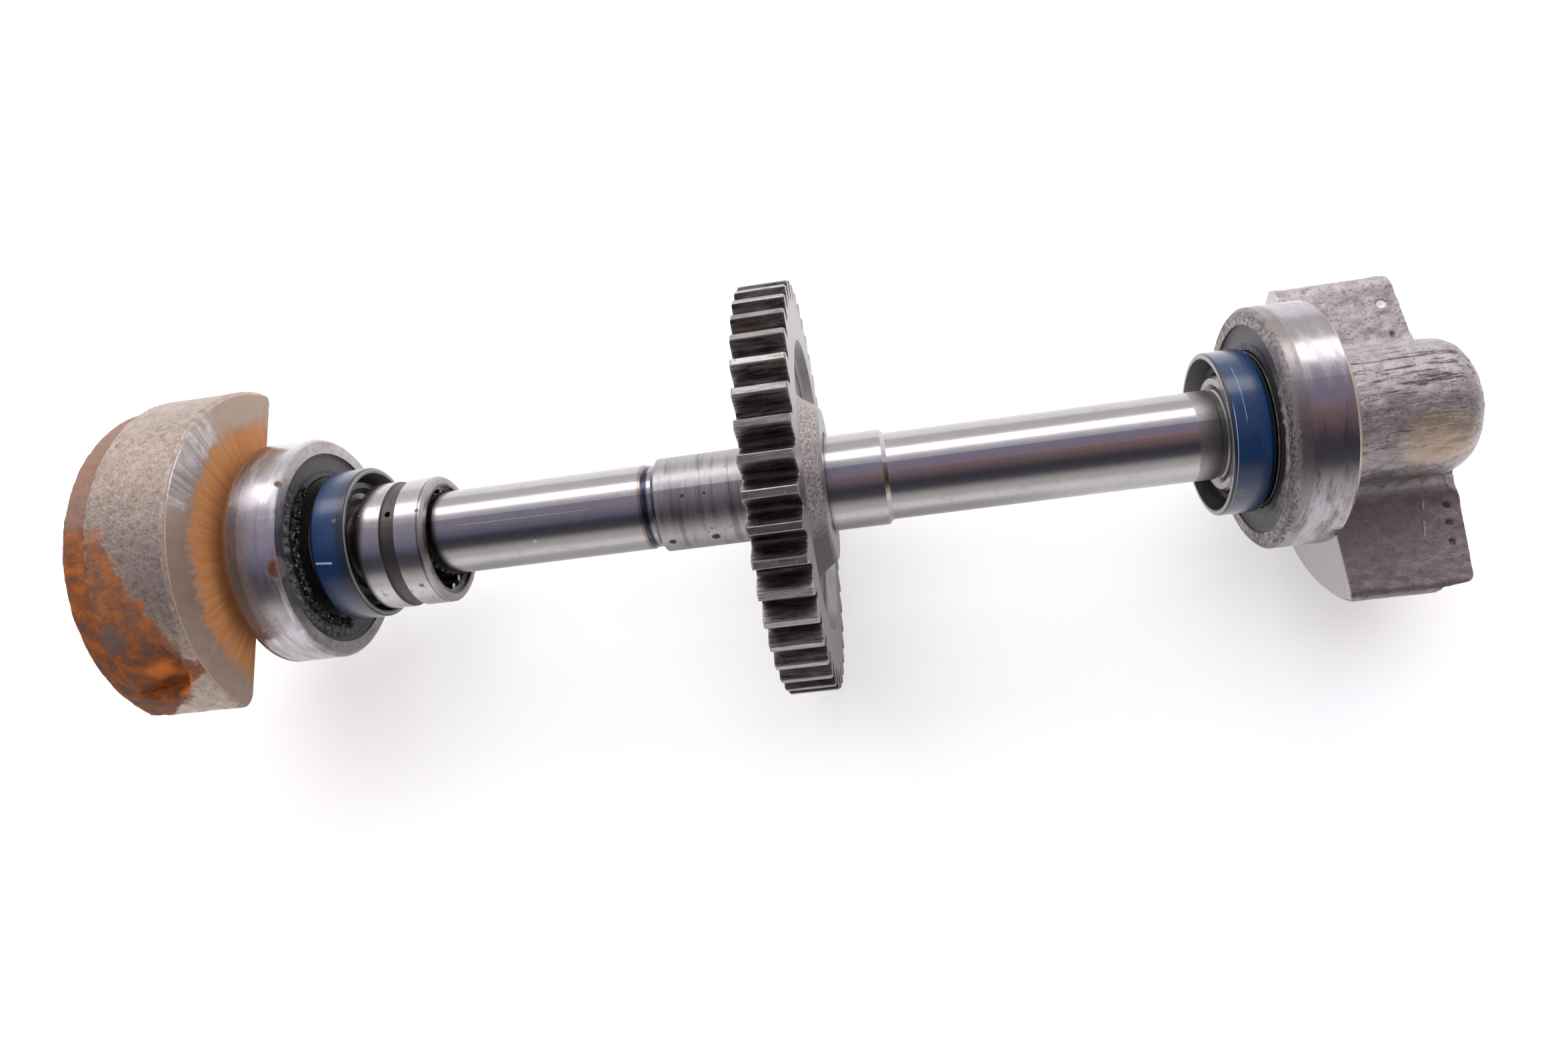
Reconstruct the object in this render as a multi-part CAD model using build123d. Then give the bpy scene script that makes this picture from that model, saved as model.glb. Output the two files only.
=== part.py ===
from build123d import *
from math import acos, cos, pi, radians, sin, sqrt, tan
import os

# Balance shaft of an engine: a ground centre shaft that carries a spur gear, with a half-round
# counterweight on each end, set half a turn apart.  Each counterweight is a casting with a turned
# journal, pressed on the end of the shaft.  The journal carries a sealed ball bearing and an oil
# seal, and a loose needle bearing hangs on the left span.
# Millimetres.  X runs along the shaft to the right, and Z is up.  The origin is on the shaft's axis
# at the middle of the gear's width.  The left weight bulges up and the right one down.

# Gear
TEETH = 43
GEAR_TIP_RADIUS = 63.5
GEAR_WIDTH = 15.0
PRESSURE_ANGLE = radians(20)
TOOTH_TURN = 7.8                # degrees from +Y round X to the middle of the first tooth
TOOTH_CHAMFER = 0.5
RIM_INNER_RADIUS = 45.4
RIM_SLOPE = 1.5                 # how much the rim's inner wall leans over its depth
RIM_ROUND = 2.0
WEB_THICKNESS = 7.6
HUB_RADIUS = 24.3
HUB_FOOT_RADIUS = 29.0          # where the hub's cone would meet the web without its fillet
HUB_FILLET = 5.0
HUB_PROUD = 4.0                 # how far the hub stands out of the gear's right face
HUB_CHAMFER = 0.8
HUB_BORE_CHAMFER = 1.4
GEAR_SEAT_RADIUS = 15.0

# Centre shaft
SPAN_RADIUS = 13.5
COLLAR_RADIUS = 14.85
LEFT_COLLAR_END = -41.5
RIGHT_COLLAR_END = 28.6
RELIEF_WIDTH = 3.2              # ground relief beside the left collar
RELIEF_DEPTH = 0.45
RELIEF_SLOPE = 0.4
JOURNAL_GROOVE_WIDTH = 2.2      # ground relief beside the right journal
SHAFT_END_CHAMFER = 1.0
PRESS_DEPTH = 45.0              # how far each shaft end goes into its counterweight

# Ball bearings, 35 x 72 x 17
BEARING_BORE_RADIUS = 17.5
BEARING_OUTER_RADIUS = 36.0
BEARING_WIDTH = 17.0
BEARING_CHAMFER = 1.1
BALLS = 9
BALL_RADIUS = 5.555
BALL_CIRCLE_RADIUS = 26.75
BALL_CLEARANCE = 0.04
RACE_CONFORMITY = 1.03          # groove radius over ball radius
INNER_SHOULDER_RADIUS = 23.4
OUTER_SHOULDER_RADIUS = 30.3
SHIELD_OUTER_RADIUS = 31.2
SHIELD_INNER_X = 6.5
SHIELD_THICKNESS = 0.9
SHIELD_GAP = 0.3                # between the disc and the inner ring
SHIELD_BEVEL = 0.4
SHIELD_BEAD_HEIGHT = 0.5        # raised beads round both edges of the disc
SHIELD_BEAD_WIDTH = 1.4
CAGE_SHEET = 0.6
CAGE_CLEARANCE = 0.12
CAGE_HALF_DEPTH = 1.9
LEFT_BEARING_MIDDLE = -160.5
RIGHT_BEARING_MIDDLE = 146.2

# Counterweights
WEIGHT_RADIUS = 54.5
FLAT_OFFSET = 10.7              # from the axis to the flat, on the bulge side
FACE_CHAMFER = 1.2
RIM_WIDTH = 24.5
RIM_STEP_WIDTH = 1.6            # the rim steps down behind its machined width
RIM_STEP_DROP = 1.3
TIP_DROP = 2.3                  # radius lost at the back edge
TIP_THICKNESS = 34.3
TIP_ROUND = 3.0
WEIGHT_THICKNESS = 37.2         # beside the boss
BOSS_RADIUS = 20.2
BOSS_LENGTH = 37.9
BOSS_END_ROUND = 9.0
BOSS_FILLET = 8.0
LEFT_CORNER_ROUNDS = (5.0, 3.0)     # where the flat meets the rim, towards -Y and +Y
RIGHT_CORNER_ROUNDS = (2.5, 6.5)
SHOULDER_RADIUS = 22.6
LEFT_SHOULDER_LENGTH = 3.6
RIGHT_SHOULDER_LENGTH = 4.6
JOURNAL_LENGTH = 26.6           # from the bearing's outboard face to the journal's free end
JOURNAL_CHAMFER = 0.8
JOURNAL_BORE_CHAMFER = 1.4
BORE_END_GAP = 1.5              # left free past the pressed-in shaft end

# Balance pocket drilled in the left weight
POCKET_RADIUS = 11.5
POCKET_DEPTH = 5.5
POCKET_FROM_FACE = 17.0
POCKET_ANGLE = 50.1             # degrees from straight up, towards -Y

# Dents in the flat of the right weight: (x, y) from its face and the axis, ball radius, depth
FLAT_DENTS = (
    ((30.2, 39.3), 2.6, 0.6),
    ((30.9, 28.5), 1.2, 0.3),
    ((32.5, -27.6), 1.6, 0.5),
    ((32.0, -32.9), 1.6, 0.5),
    ((31.5, -38.7), 1.6, 0.5),
)

# Oil seals
SEAL_RADIUS = 24.5
SEAL_WIDTH = 11.8
SEAL_WALL = 1.7
SEAL_BACK = 2.2
SEAL_CHAMFER = 1.8
SEAL_RIM_ROUND = 0.7
SEAL_WALL_DRAFT = 0.3
LIP_X = 5.6                     # from the seal's back to the sealing edge
LIP_CLEARANCE = 0.05
LIP_HEIGHT = 0.9
LIP_BACK = 1.2
LIP_FRONT = 1.6
SPRING_X = 5.1
SPRING_CIRCLE_RADIUS = 20.2
SPRING_WIRE_RADIUS = 0.9
LEFT_SEAL_BACK = -148.5
RIGHT_SEAL_BACK = 137.4

# Needle bearing, 1 1/4 x 1 5/8 x 7/8 inches
NEEDLE_OUTER_RADIUS = 20.64
NEEDLE_RACE_RADIUS = 18.9
NEEDLE_FLANGE_RADIUS = 17.4
NEEDLE_WIDTH = 22.2
NEEDLE_FLANGE = 1.9
NEEDLE_CHAMFER = 0.9
NEEDLE_MIDDLE = -125.3
NEEDLES = 20
NEEDLE_RADIUS = 1.5
NEEDLE_CIRCLE_RADIUS = 17.38
NEEDLE_LENGTH = 15.0
NEEDLE_CLEARANCE = 0.1          # lengthways in the cage
NEEDLE_CAGE_INNER_RADIUS = 16.6
NEEDLE_CAGE_OUTER_RADIUS = 18.2
NEEDLE_CAGE_END_GAP = 0.15
NEEDLE_CAGE_SIDE_GAP = 0.06
NEEDLE_GROOVE_WIDTH = 5.0
NEEDLE_GROOVE_DEPTH = 0.7
NEEDLE_GROOVE_SLOPE = 0.4
NEEDLE_GROOVE_MIDDLE = -125.8
OIL_HOLE_RADIUS = 1.0
OIL_HOLE_ANGLE = -12.0          # degrees from straight up, towards -Y
HANG_ANGLE = 32.0               # degrees from straight down, towards -Y
HANG_CLEARANCE = 0.03           # between the lowest roller and the shaft


def turned(*outline, rounds=()):
    """Solid of revolution about X from (x, radius) points; rounds are (x, radius, fillet)."""
    section = Plane.XZ * make_face(Polyline(*outline, close=True))
    for x, radius, fillet_radius in rounds:
        corner = section.vertices().sort_by_distance((x, 0, radius))[0]
        section = fillet(corner, fillet_radius)
    return revolve(section, Axis.X)


def ring_of(radius, wire_radius, x=0.0):
    """Round ring about X, such as a race groove or a garter spring."""
    return Pos(x, 0, 0) * Rot(0, 90, 0) * Torus(radius, wire_radius)


def disc(x0, x1, radius):
    """Plain cylinder about X from x0 to x1."""
    return turned((x0, 0), (x0, radius), (x1, radius), (x1, 0))


def around_axis(count, make):
    """Separate solids made by make(angle in degrees), evenly spaced about X."""
    return [make(360 * i / count) for i in range(count)]


# Gear teeth
gear_module = 2 * GEAR_TIP_RADIUS / (TEETH + 2)
gear_pitch_radius = gear_module * TEETH / 2
gear_base_radius = gear_pitch_radius * cos(PRESSURE_ANGLE)
gear_root_radius = GEAR_TIP_RADIUS - 2.3 * gear_module
flank_start_radius = gear_root_radius + 0.3 * gear_module


def involute(angle):
    return tan(angle) - angle


def half_tooth_angle(radius):
    """Half the angle that one tooth takes up at this radius."""
    rise = involute(acos(gear_base_radius / radius)) if radius > gear_base_radius else 0
    return pi / (2 * TEETH) + involute(PRESSURE_ANGLE) - rise


def gear_point(radius, angle):
    return (radius * cos(angle), radius * sin(angle))


def tooth_edges(middle):
    """Root, flank, tip and flank of one tooth, counted round the gear."""
    step = (GEAR_TIP_RADIUS - flank_start_radius) / 4
    radii = [flank_start_radius + step * i for i in range(5)]
    rising = [gear_point(r, middle - half_tooth_angle(r)) for r in radii]
    falling = [gear_point(r, middle + half_tooth_angle(r)) for r in reversed(radii)]
    last_foot = middle - 2 * pi / TEETH + half_tooth_angle(flank_start_radius)
    root = ThreePointArc(
        gear_point(flank_start_radius, last_foot),
        gear_point(gear_root_radius, middle - pi / TEETH),
        rising[0],
    )
    tip = ThreePointArc(rising[-1], gear_point(GEAR_TIP_RADIUS, middle), falling[0])
    return [root, Spline(*rising), tip, Spline(*falling)]


def drive_gear():
    edges = []
    for i in range(TEETH):
        edges += tooth_edges(radians(TOOTH_TURN) + 2 * pi * i / TEETH)
    half = GEAR_WIDTH / 2
    toothed = Pos(-half, 0, 0) * extrude(Plane.YZ * make_face(Wire(edges)), GEAR_WIDTH)
    tip_cut = GEAR_TIP_RADIUS + 0.01
    chamfered = turned(
        (-half, 0),
        (-half, tip_cut - TOOTH_CHAMFER),
        (-half + TOOTH_CHAMFER, tip_cut),
        (half - TOOTH_CHAMFER, tip_cut),
        (half, tip_cut - TOOTH_CHAMFER),
        (half, 0),
    )
    web = WEB_THICKNESS / 2
    hub_face = half + HUB_PROUD
    pan = turned(
        (web, HUB_FOOT_RADIUS),
        (web, RIM_INNER_RADIUS - RIM_SLOPE),
        (half, RIM_INNER_RADIUS),
        (hub_face + 1, RIM_INNER_RADIUS),
        (hub_face + 1, HUB_RADIUS - HUB_CHAMFER - 1),
        (hub_face - HUB_CHAMFER, HUB_RADIUS),
        rounds=((web, HUB_FOOT_RADIUS, HUB_FILLET), (web, RIM_INNER_RADIUS - RIM_SLOPE, RIM_ROUND)),
    )
    bore = turned(
        (-half - 1, 0),
        (-half - 1, GEAR_SEAT_RADIUS),
        (hub_face - HUB_BORE_CHAMFER, GEAR_SEAT_RADIUS),
        (hub_face + 1, GEAR_SEAT_RADIUS + HUB_BORE_CHAMFER + 1),
        (hub_face + 1, 0),
    )
    blank = (toothed & chamfered) + disc(0, hub_face, HUB_FOOT_RADIUS)
    return blank - pan - mirror(pan, about=Plane.YZ) - bore


# Stations along the shaft
left_bearing_outboard = LEFT_BEARING_MIDDLE - BEARING_WIDTH / 2
right_bearing_outboard = RIGHT_BEARING_MIDDLE + BEARING_WIDTH / 2
left_journal_end = left_bearing_outboard + JOURNAL_LENGTH
right_journal_end = right_bearing_outboard - JOURNAL_LENGTH
left_weight_face = left_bearing_outboard - LEFT_SHOULDER_LENGTH
right_weight_face = right_bearing_outboard + RIGHT_SHOULDER_LENGTH
gear_left_face = -GEAR_WIDTH / 2
gear_hub_face = GEAR_WIDTH / 2 + HUB_PROUD


def balance_shaft():
    """Centre shaft: a seat for the gear between two collars, and a plain span each side."""
    left_end = left_journal_end - PRESS_DEPTH
    right_end = right_journal_end + PRESS_DEPTH
    relief = SPAN_RADIUS - RELIEF_DEPTH
    step = COLLAR_RADIUS - SPAN_RADIUS
    relief_start = LEFT_COLLAR_END - step - RELIEF_WIDTH
    groove_start = right_journal_end - JOURNAL_GROOVE_WIDTH
    return turned(
        (left_end, 0),
        (left_end, SPAN_RADIUS - SHAFT_END_CHAMFER),
        (left_end + SHAFT_END_CHAMFER, SPAN_RADIUS),
        (relief_start, SPAN_RADIUS),
        (relief_start + RELIEF_SLOPE, relief),
        (LEFT_COLLAR_END - step, relief),
        (LEFT_COLLAR_END, COLLAR_RADIUS),
        (gear_left_face, COLLAR_RADIUS),
        (gear_left_face, GEAR_SEAT_RADIUS),
        (gear_hub_face, GEAR_SEAT_RADIUS),
        (gear_hub_face, COLLAR_RADIUS),
        (RIGHT_COLLAR_END, COLLAR_RADIUS),
        (RIGHT_COLLAR_END + step, SPAN_RADIUS),
        (groove_start, SPAN_RADIUS),
        (groove_start + RELIEF_SLOPE, relief),
        (right_journal_end - RELIEF_SLOPE, relief),
        (right_journal_end, SPAN_RADIUS),
        (right_end - SHAFT_END_CHAMFER, SPAN_RADIUS),
        (right_end, SPAN_RADIUS - SHAFT_END_CHAMFER),
        (right_end, 0),
    )


def counterweight(shoulder_length, near_round, far_round):
    """One casting: front face at x = 0, body towards +x, journal towards -x, bulge up."""
    reach = BOSS_LENGTH + 5
    half_flat = sqrt(WEIGHT_RADIUS**2 - FLAT_OFFSET**2)
    keep = Plane.YZ * Pos(0, FLAT_OFFSET + WEIGHT_RADIUS / 2) * Rectangle(3 * WEIGHT_RADIUS, WEIGHT_RADIUS)
    segment = (Plane.YZ * Circle(WEIGHT_RADIUS)) & keep
    section = segment + Plane.YZ * Circle(BOSS_RADIUS)
    boss_meets_flat = sqrt(BOSS_RADIUS**2 - FLAT_OFFSET**2)
    for y, radius in (
        (boss_meets_flat, BOSS_FILLET),
        (-boss_meets_flat, BOSS_FILLET),
        (half_flat, near_round),
        (-half_flat, far_round),
    ):
        corner = section.vertices().sort_by_distance((0, y, FLAT_OFFSET))[0]
        section = fillet(corner, radius)
    column = extrude(section, reach)
    tip_radius = WEIGHT_RADIUS - TIP_DROP
    slab = turned(
        (0, 0),
        (0, WEIGHT_RADIUS - FACE_CHAMFER),
        (FACE_CHAMFER, WEIGHT_RADIUS),
        (RIM_WIDTH, WEIGHT_RADIUS),
        (RIM_WIDTH + RIM_STEP_WIDTH, WEIGHT_RADIUS - RIM_STEP_DROP),
        (TIP_THICKNESS, tip_radius),
        (WEIGHT_THICKNESS, BOSS_RADIUS),
        (BOSS_LENGTH, BOSS_RADIUS - BOSS_END_ROUND),
        (BOSS_LENGTH, 0),
        rounds=((TIP_THICKNESS, tip_radius, TIP_ROUND),),
    )
    dome = turned(
        (0, 0),
        (0, BOSS_RADIUS),
        (BOSS_LENGTH, BOSS_RADIUS),
        (BOSS_LENGTH, 0),
        rounds=((BOSS_LENGTH, BOSS_RADIUS, BOSS_END_ROUND),),
    )
    bulge_side = Pos(reach / 2, 0, FLAT_OFFSET + WEIGHT_RADIUS) * Box(
        reach, 3 * WEIGHT_RADIUS, 2 * WEIGHT_RADIUS
    )
    dome_cut = disc(BOSS_LENGTH - BOSS_END_ROUND, reach, BOSS_RADIUS) - dome - bulge_side
    journal_end = -(shoulder_length + JOURNAL_LENGTH)
    journal = turned(
        (journal_end, 0),
        (journal_end, BEARING_BORE_RADIUS - JOURNAL_CHAMFER),
        (journal_end + JOURNAL_CHAMFER, BEARING_BORE_RADIUS),
        (-shoulder_length, BEARING_BORE_RADIUS),
        (-shoulder_length, SHOULDER_RADIUS),
        (1, SHOULDER_RADIUS),
        (1, 0),
    )
    bore = turned(
        (journal_end - 1, 0),
        (journal_end - 1, SPAN_RADIUS + JOURNAL_BORE_CHAMFER + 1),
        (journal_end + JOURNAL_BORE_CHAMFER, SPAN_RADIUS),
        (journal_end + PRESS_DEPTH + BORE_END_GAP, SPAN_RADIUS),
        (journal_end + PRESS_DEPTH + BORE_END_GAP, 0),
    )
    return (column & slab) - dome_cut + journal - bore


def left_counterweight():
    blank = counterweight(LEFT_SHOULDER_LENGTH, *LEFT_CORNER_ROUNDS)
    casting = Pos(left_weight_face, 0, 0) * Rot(0, 0, 180) * blank
    pocket = Pos(left_weight_face - POCKET_FROM_FACE, 0, 0) * Rot(POCKET_ANGLE, 0, 0) * (
        Pos(0, 0, WEIGHT_RADIUS - POCKET_DEPTH)
        * Cylinder(POCKET_RADIUS, 2 * POCKET_DEPTH, align=(Align.CENTER, Align.CENTER, Align.MIN))
    )
    return casting - pocket


def right_counterweight():
    blank = counterweight(RIGHT_SHOULDER_LENGTH, *RIGHT_CORNER_ROUNDS)
    casting = Pos(right_weight_face, 0, 0) * Rot(180, 0, 0) * blank
    for (x, y), ball_radius, depth in FLAT_DENTS:
        centre = (right_weight_face + x, y, -FLAT_OFFSET + ball_radius - depth)
        casting -= Pos(*centre) * Sphere(ball_radius)
    return casting


# Ball bearing pieces, each centred on x = 0
race_radius = BALL_RADIUS * RACE_CONFORMITY
inner_race = BALL_CIRCLE_RADIUS - BALL_RADIUS - BALL_CLEARANCE + race_radius
outer_race = BALL_CIRCLE_RADIUS + BALL_RADIUS + BALL_CLEARANCE - race_radius


def bearing_outer_ring():
    face = BEARING_WIDTH / 2
    ring = turned(
        (-face, SHIELD_OUTER_RADIUS),
        (-face, BEARING_OUTER_RADIUS - BEARING_CHAMFER),
        (-face + BEARING_CHAMFER, BEARING_OUTER_RADIUS),
        (face - BEARING_CHAMFER, BEARING_OUTER_RADIUS),
        (face, BEARING_OUTER_RADIUS - BEARING_CHAMFER),
        (face, SHIELD_OUTER_RADIUS),
        (SHIELD_INNER_X, SHIELD_OUTER_RADIUS),
        (SHIELD_INNER_X, OUTER_SHOULDER_RADIUS),
        (-SHIELD_INNER_X, OUTER_SHOULDER_RADIUS),
        (-SHIELD_INNER_X, SHIELD_OUTER_RADIUS),
    )
    return ring - ring_of(outer_race, race_radius)


def bearing_inner_ring():
    face = BEARING_WIDTH / 2
    ring = turned(
        (-face, BEARING_BORE_RADIUS),
        (-face, INNER_SHOULDER_RADIUS),
        (face, INNER_SHOULDER_RADIUS),
        (face, BEARING_BORE_RADIUS),
    )
    return ring - ring_of(inner_race, race_radius)


def bearing_shield(side):
    """Dished sealing disc held in the outer ring; side is -1 for the left one, 1 for the right."""
    inside = SHIELD_INNER_X
    outside = SHIELD_INNER_X + SHIELD_THICKNESS
    bead = outside + SHIELD_BEAD_HEIGHT
    bore = INNER_SHOULDER_RADIUS + SHIELD_GAP
    return turned(
        (side * inside, bore + SHIELD_BEVEL),
        (side * inside, SHIELD_OUTER_RADIUS),
        (side * bead, SHIELD_OUTER_RADIUS),
        (side * outside, SHIELD_OUTER_RADIUS - SHIELD_BEAD_WIDTH),
        (side * outside, bore + SHIELD_BEAD_WIDTH),
        (side * bead, bore),
        (side * (inside + SHIELD_BEVEL), bore),
    )


def bearing_balls():
    return around_axis(
        BALLS, lambda angle: Rot(angle, 0, 0) * Pos(0, 0, BALL_CIRCLE_RADIUS) * Sphere(BALL_RADIUS)
    )


def bearing_cage():
    """Pressed ribbon cage: a thin band that bulges into a pocket round each ball."""
    pocket_radius = BALL_RADIUS + CAGE_CLEARANCE
    inner = BALL_CIRCLE_RADIUS - CAGE_HALF_DEPTH
    outer = BALL_CIRCLE_RADIUS + CAGE_HALF_DEPTH
    cage = turned((-CAGE_SHEET, inner), (-CAGE_SHEET, outer), (CAGE_SHEET, outer), (CAGE_SHEET, inner))
    width = pocket_radius + CAGE_SHEET
    band = turned((-width, inner), (-width, outer), (width, outer), (width, inner))
    for angle in range(BALLS):
        place = Rot(360 * angle / BALLS, 0, 0) * Pos(0, 0, BALL_CIRCLE_RADIUS)
        cage += (place * Sphere(pocket_radius + CAGE_SHEET)) & band
    for angle in range(BALLS):
        place = Rot(360 * angle / BALLS, 0, 0) * Pos(0, 0, BALL_CIRCLE_RADIUS)
        cage -= place * Sphere(pocket_radius)
    return cage


# Oil seal, with its back at x = 0 and its open side towards +x
def oil_seal():
    lip_radius = BEARING_BORE_RADIUS + LIP_CLEARANCE
    lip_top = lip_radius + LIP_HEIGHT
    wall_radius = SEAL_RADIUS - SEAL_WALL
    seal = turned(
        (0, lip_top),
        (0, SEAL_RADIUS - SEAL_CHAMFER),
        (SEAL_CHAMFER, SEAL_RADIUS),
        (SEAL_WIDTH, SEAL_RADIUS),
        (SEAL_WIDTH, wall_radius),
        (SEAL_BACK, wall_radius - SEAL_WALL_DRAFT),
        (SEAL_BACK, SPRING_CIRCLE_RADIUS),
        (LIP_X + LIP_FRONT, SPRING_CIRCLE_RADIUS),
        (LIP_X + LIP_FRONT, lip_top),
        (LIP_X, lip_radius),
        (LIP_X - LIP_BACK, lip_radius + LIP_HEIGHT / 2),
        (SEAL_BACK, lip_top),
        rounds=((SEAL_WIDTH, SEAL_RADIUS, SEAL_RIM_ROUND),),
    )
    return seal - ring_of(SPRING_CIRCLE_RADIUS, SPRING_WIRE_RADIUS, SPRING_X)


def seal_spring():
    return ring_of(SPRING_CIRCLE_RADIUS, SPRING_WIRE_RADIUS, SPRING_X)


# Needle bearing, centred on its own axis at x = 0
def needle_outer_ring():
    face = NEEDLE_WIDTH / 2
    groove = NEEDLE_GROOVE_MIDDLE - NEEDLE_MIDDLE
    groove_left = groove - NEEDLE_GROOVE_WIDTH / 2
    groove_right = groove + NEEDLE_GROOVE_WIDTH / 2
    floor = NEEDLE_OUTER_RADIUS - NEEDLE_GROOVE_DEPTH
    ring = turned(
        (-face, NEEDLE_FLANGE_RADIUS),
        (-face, NEEDLE_OUTER_RADIUS - NEEDLE_CHAMFER),
        (-face + NEEDLE_CHAMFER, NEEDLE_OUTER_RADIUS),
        (groove_left, NEEDLE_OUTER_RADIUS),
        (groove_left + NEEDLE_GROOVE_SLOPE, floor),
        (groove_right - NEEDLE_GROOVE_SLOPE, floor),
        (groove_right, NEEDLE_OUTER_RADIUS),
        (face - NEEDLE_CHAMFER, NEEDLE_OUTER_RADIUS),
        (face, NEEDLE_OUTER_RADIUS - NEEDLE_CHAMFER),
        (face, NEEDLE_FLANGE_RADIUS),
        (face - NEEDLE_FLANGE, NEEDLE_FLANGE_RADIUS),
        (face - NEEDLE_FLANGE, NEEDLE_RACE_RADIUS),
        (-face + NEEDLE_FLANGE, NEEDLE_RACE_RADIUS),
        (-face + NEEDLE_FLANGE, NEEDLE_FLANGE_RADIUS),
    )
    hole = Pos(groove, 0, NEEDLE_RACE_RADIUS) * Cylinder(OIL_HOLE_RADIUS, 8)
    return ring - Rot(OIL_HOLE_ANGLE, 0, 0) * hole


def needle_rollers():
    roller = Rot(0, 90, 0) * Cylinder(NEEDLE_RADIUS, NEEDLE_LENGTH)
    return around_axis(
        NEEDLES, lambda angle: Rot(angle, 0, 0) * Pos(0, 0, NEEDLE_CIRCLE_RADIUS) * roller
    )


def needle_cage():
    half = NEEDLE_WIDTH / 2 - NEEDLE_FLANGE - NEEDLE_CAGE_END_GAP
    inner = NEEDLE_CAGE_INNER_RADIUS
    outer = NEEDLE_CAGE_OUTER_RADIUS
    cage = turned((-half, inner), (-half, outer), (half, outer), (half, inner))
    slot = Box(
        NEEDLE_LENGTH + 2 * NEEDLE_CLEARANCE,
        2 * (NEEDLE_RADIUS + NEEDLE_CAGE_SIDE_GAP),
        4 * NEEDLE_RADIUS,
    )
    for i in range(NEEDLES):
        cage -= Rot(360 * i / NEEDLES, 0, 0) * Pos(0, 0, NEEDLE_CIRCLE_RADIUS) * slot
    return cage


hang = NEEDLE_CIRCLE_RADIUS - NEEDLE_RADIUS - SPAN_RADIUS - HANG_CLEARANCE
hang_angle = radians(HANG_ANGLE)
needle_place = Pos(NEEDLE_MIDDLE, -hang * sin(hang_angle), -hang * cos(hang_angle))
left_place = Pos(LEFT_BEARING_MIDDLE, 0, 0)
right_place = Pos(RIGHT_BEARING_MIDDLE, 0, 0)
left_seal_place = Pos(LEFT_SEAL_BACK, 0, 0)
right_seal_place = Pos(RIGHT_SEAL_BACK, 0, 0) * Rot(0, 0, 180)

parts = {
    "balance_shaft": balance_shaft(),
    "drive_gear": drive_gear(),
    "left_counterweight": left_counterweight(),
    "right_counterweight": right_counterweight(),
    "needle_bearing_outer_ring": needle_place * needle_outer_ring(),
    "needle_bearing_cage": needle_place * needle_cage(),
    "needle_bearing_rollers": [needle_place * roller for roller in needle_rollers()],
    "left_oil_seal": left_seal_place * oil_seal(),
    "left_seal_spring": left_seal_place * seal_spring(),
    "right_oil_seal": right_seal_place * oil_seal(),
    "right_seal_spring": right_seal_place * seal_spring(),
}
for side, place, inboard in (("left", left_place, 1), ("right", right_place, -1)):
    parts[f"{side}_bearing_inner_ring"] = place * bearing_inner_ring()
    parts[f"{side}_bearing_outer_ring"] = place * bearing_outer_ring()
    parts[f"{side}_bearing_inboard_shield"] = place * bearing_shield(inboard)
    parts[f"{side}_bearing_outboard_shield"] = place * bearing_shield(-inboard)
    parts[f"{side}_bearing_cage"] = place * bearing_cage()
    parts[f"{side}_bearing_balls"] = [place * ball for ball in bearing_balls()]

os.makedirs("parts", exist_ok=True)
for name, shape in parts.items():
    solids = shape if isinstance(shape, list) else [shape]
    export_step(Compound(children=solids), f"parts/{name}.step")
    volume = sum(solid.volume for solid in solids)
    print(f"{name}: {volume / 1000:.2f} cm3")
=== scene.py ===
# %% [markdown]
# This lesson dresses an engine's balance shaft: a ground steel shaft with a spur gear, a cast
# counterweight on each end, two sealed ball bearings, two blue oil seals and a loose needle
# bearing. The solids come from the frame, in metres, and every one stays where it is. The work
# here is in the finishes, and in the pieces that the solids leave plain: the skin of the
# castings, the rounded gear teeth, and the grease and grit round the seals.

# %% Frame
import bpy
import bmesh
import math
from mathutils import Euler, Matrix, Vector
from mathutils.bvhtree import BVHTree


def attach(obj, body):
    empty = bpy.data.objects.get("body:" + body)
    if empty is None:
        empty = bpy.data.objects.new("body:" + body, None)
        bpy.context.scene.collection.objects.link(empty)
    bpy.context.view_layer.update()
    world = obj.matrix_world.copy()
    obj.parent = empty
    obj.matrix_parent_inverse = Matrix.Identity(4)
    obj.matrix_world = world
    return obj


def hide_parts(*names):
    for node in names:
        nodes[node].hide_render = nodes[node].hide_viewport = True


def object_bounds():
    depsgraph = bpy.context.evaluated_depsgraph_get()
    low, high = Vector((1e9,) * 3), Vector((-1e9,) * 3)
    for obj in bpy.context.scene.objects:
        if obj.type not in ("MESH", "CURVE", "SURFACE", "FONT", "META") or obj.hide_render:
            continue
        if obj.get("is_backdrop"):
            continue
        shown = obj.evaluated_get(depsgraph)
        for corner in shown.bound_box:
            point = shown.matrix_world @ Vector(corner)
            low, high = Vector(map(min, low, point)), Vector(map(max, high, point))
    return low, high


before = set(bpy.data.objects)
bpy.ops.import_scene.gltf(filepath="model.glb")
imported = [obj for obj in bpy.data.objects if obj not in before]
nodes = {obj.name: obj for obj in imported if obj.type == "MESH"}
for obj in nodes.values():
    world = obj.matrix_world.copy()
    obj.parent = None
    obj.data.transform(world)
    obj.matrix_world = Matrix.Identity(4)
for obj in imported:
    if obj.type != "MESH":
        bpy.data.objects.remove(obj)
cad_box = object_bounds()
MM = 0.001
print("nodes in the frame:", len(nodes))

# %% [markdown]
# The camera comes first, because every finish is judged through it. It could be set by eye, but
# round edges seen at a slant fix a camera well, so it was found by fitting a pinhole camera to
# the edges of the bearings. The result is a place and three turns, with a sensor 36 mm wide.

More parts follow.
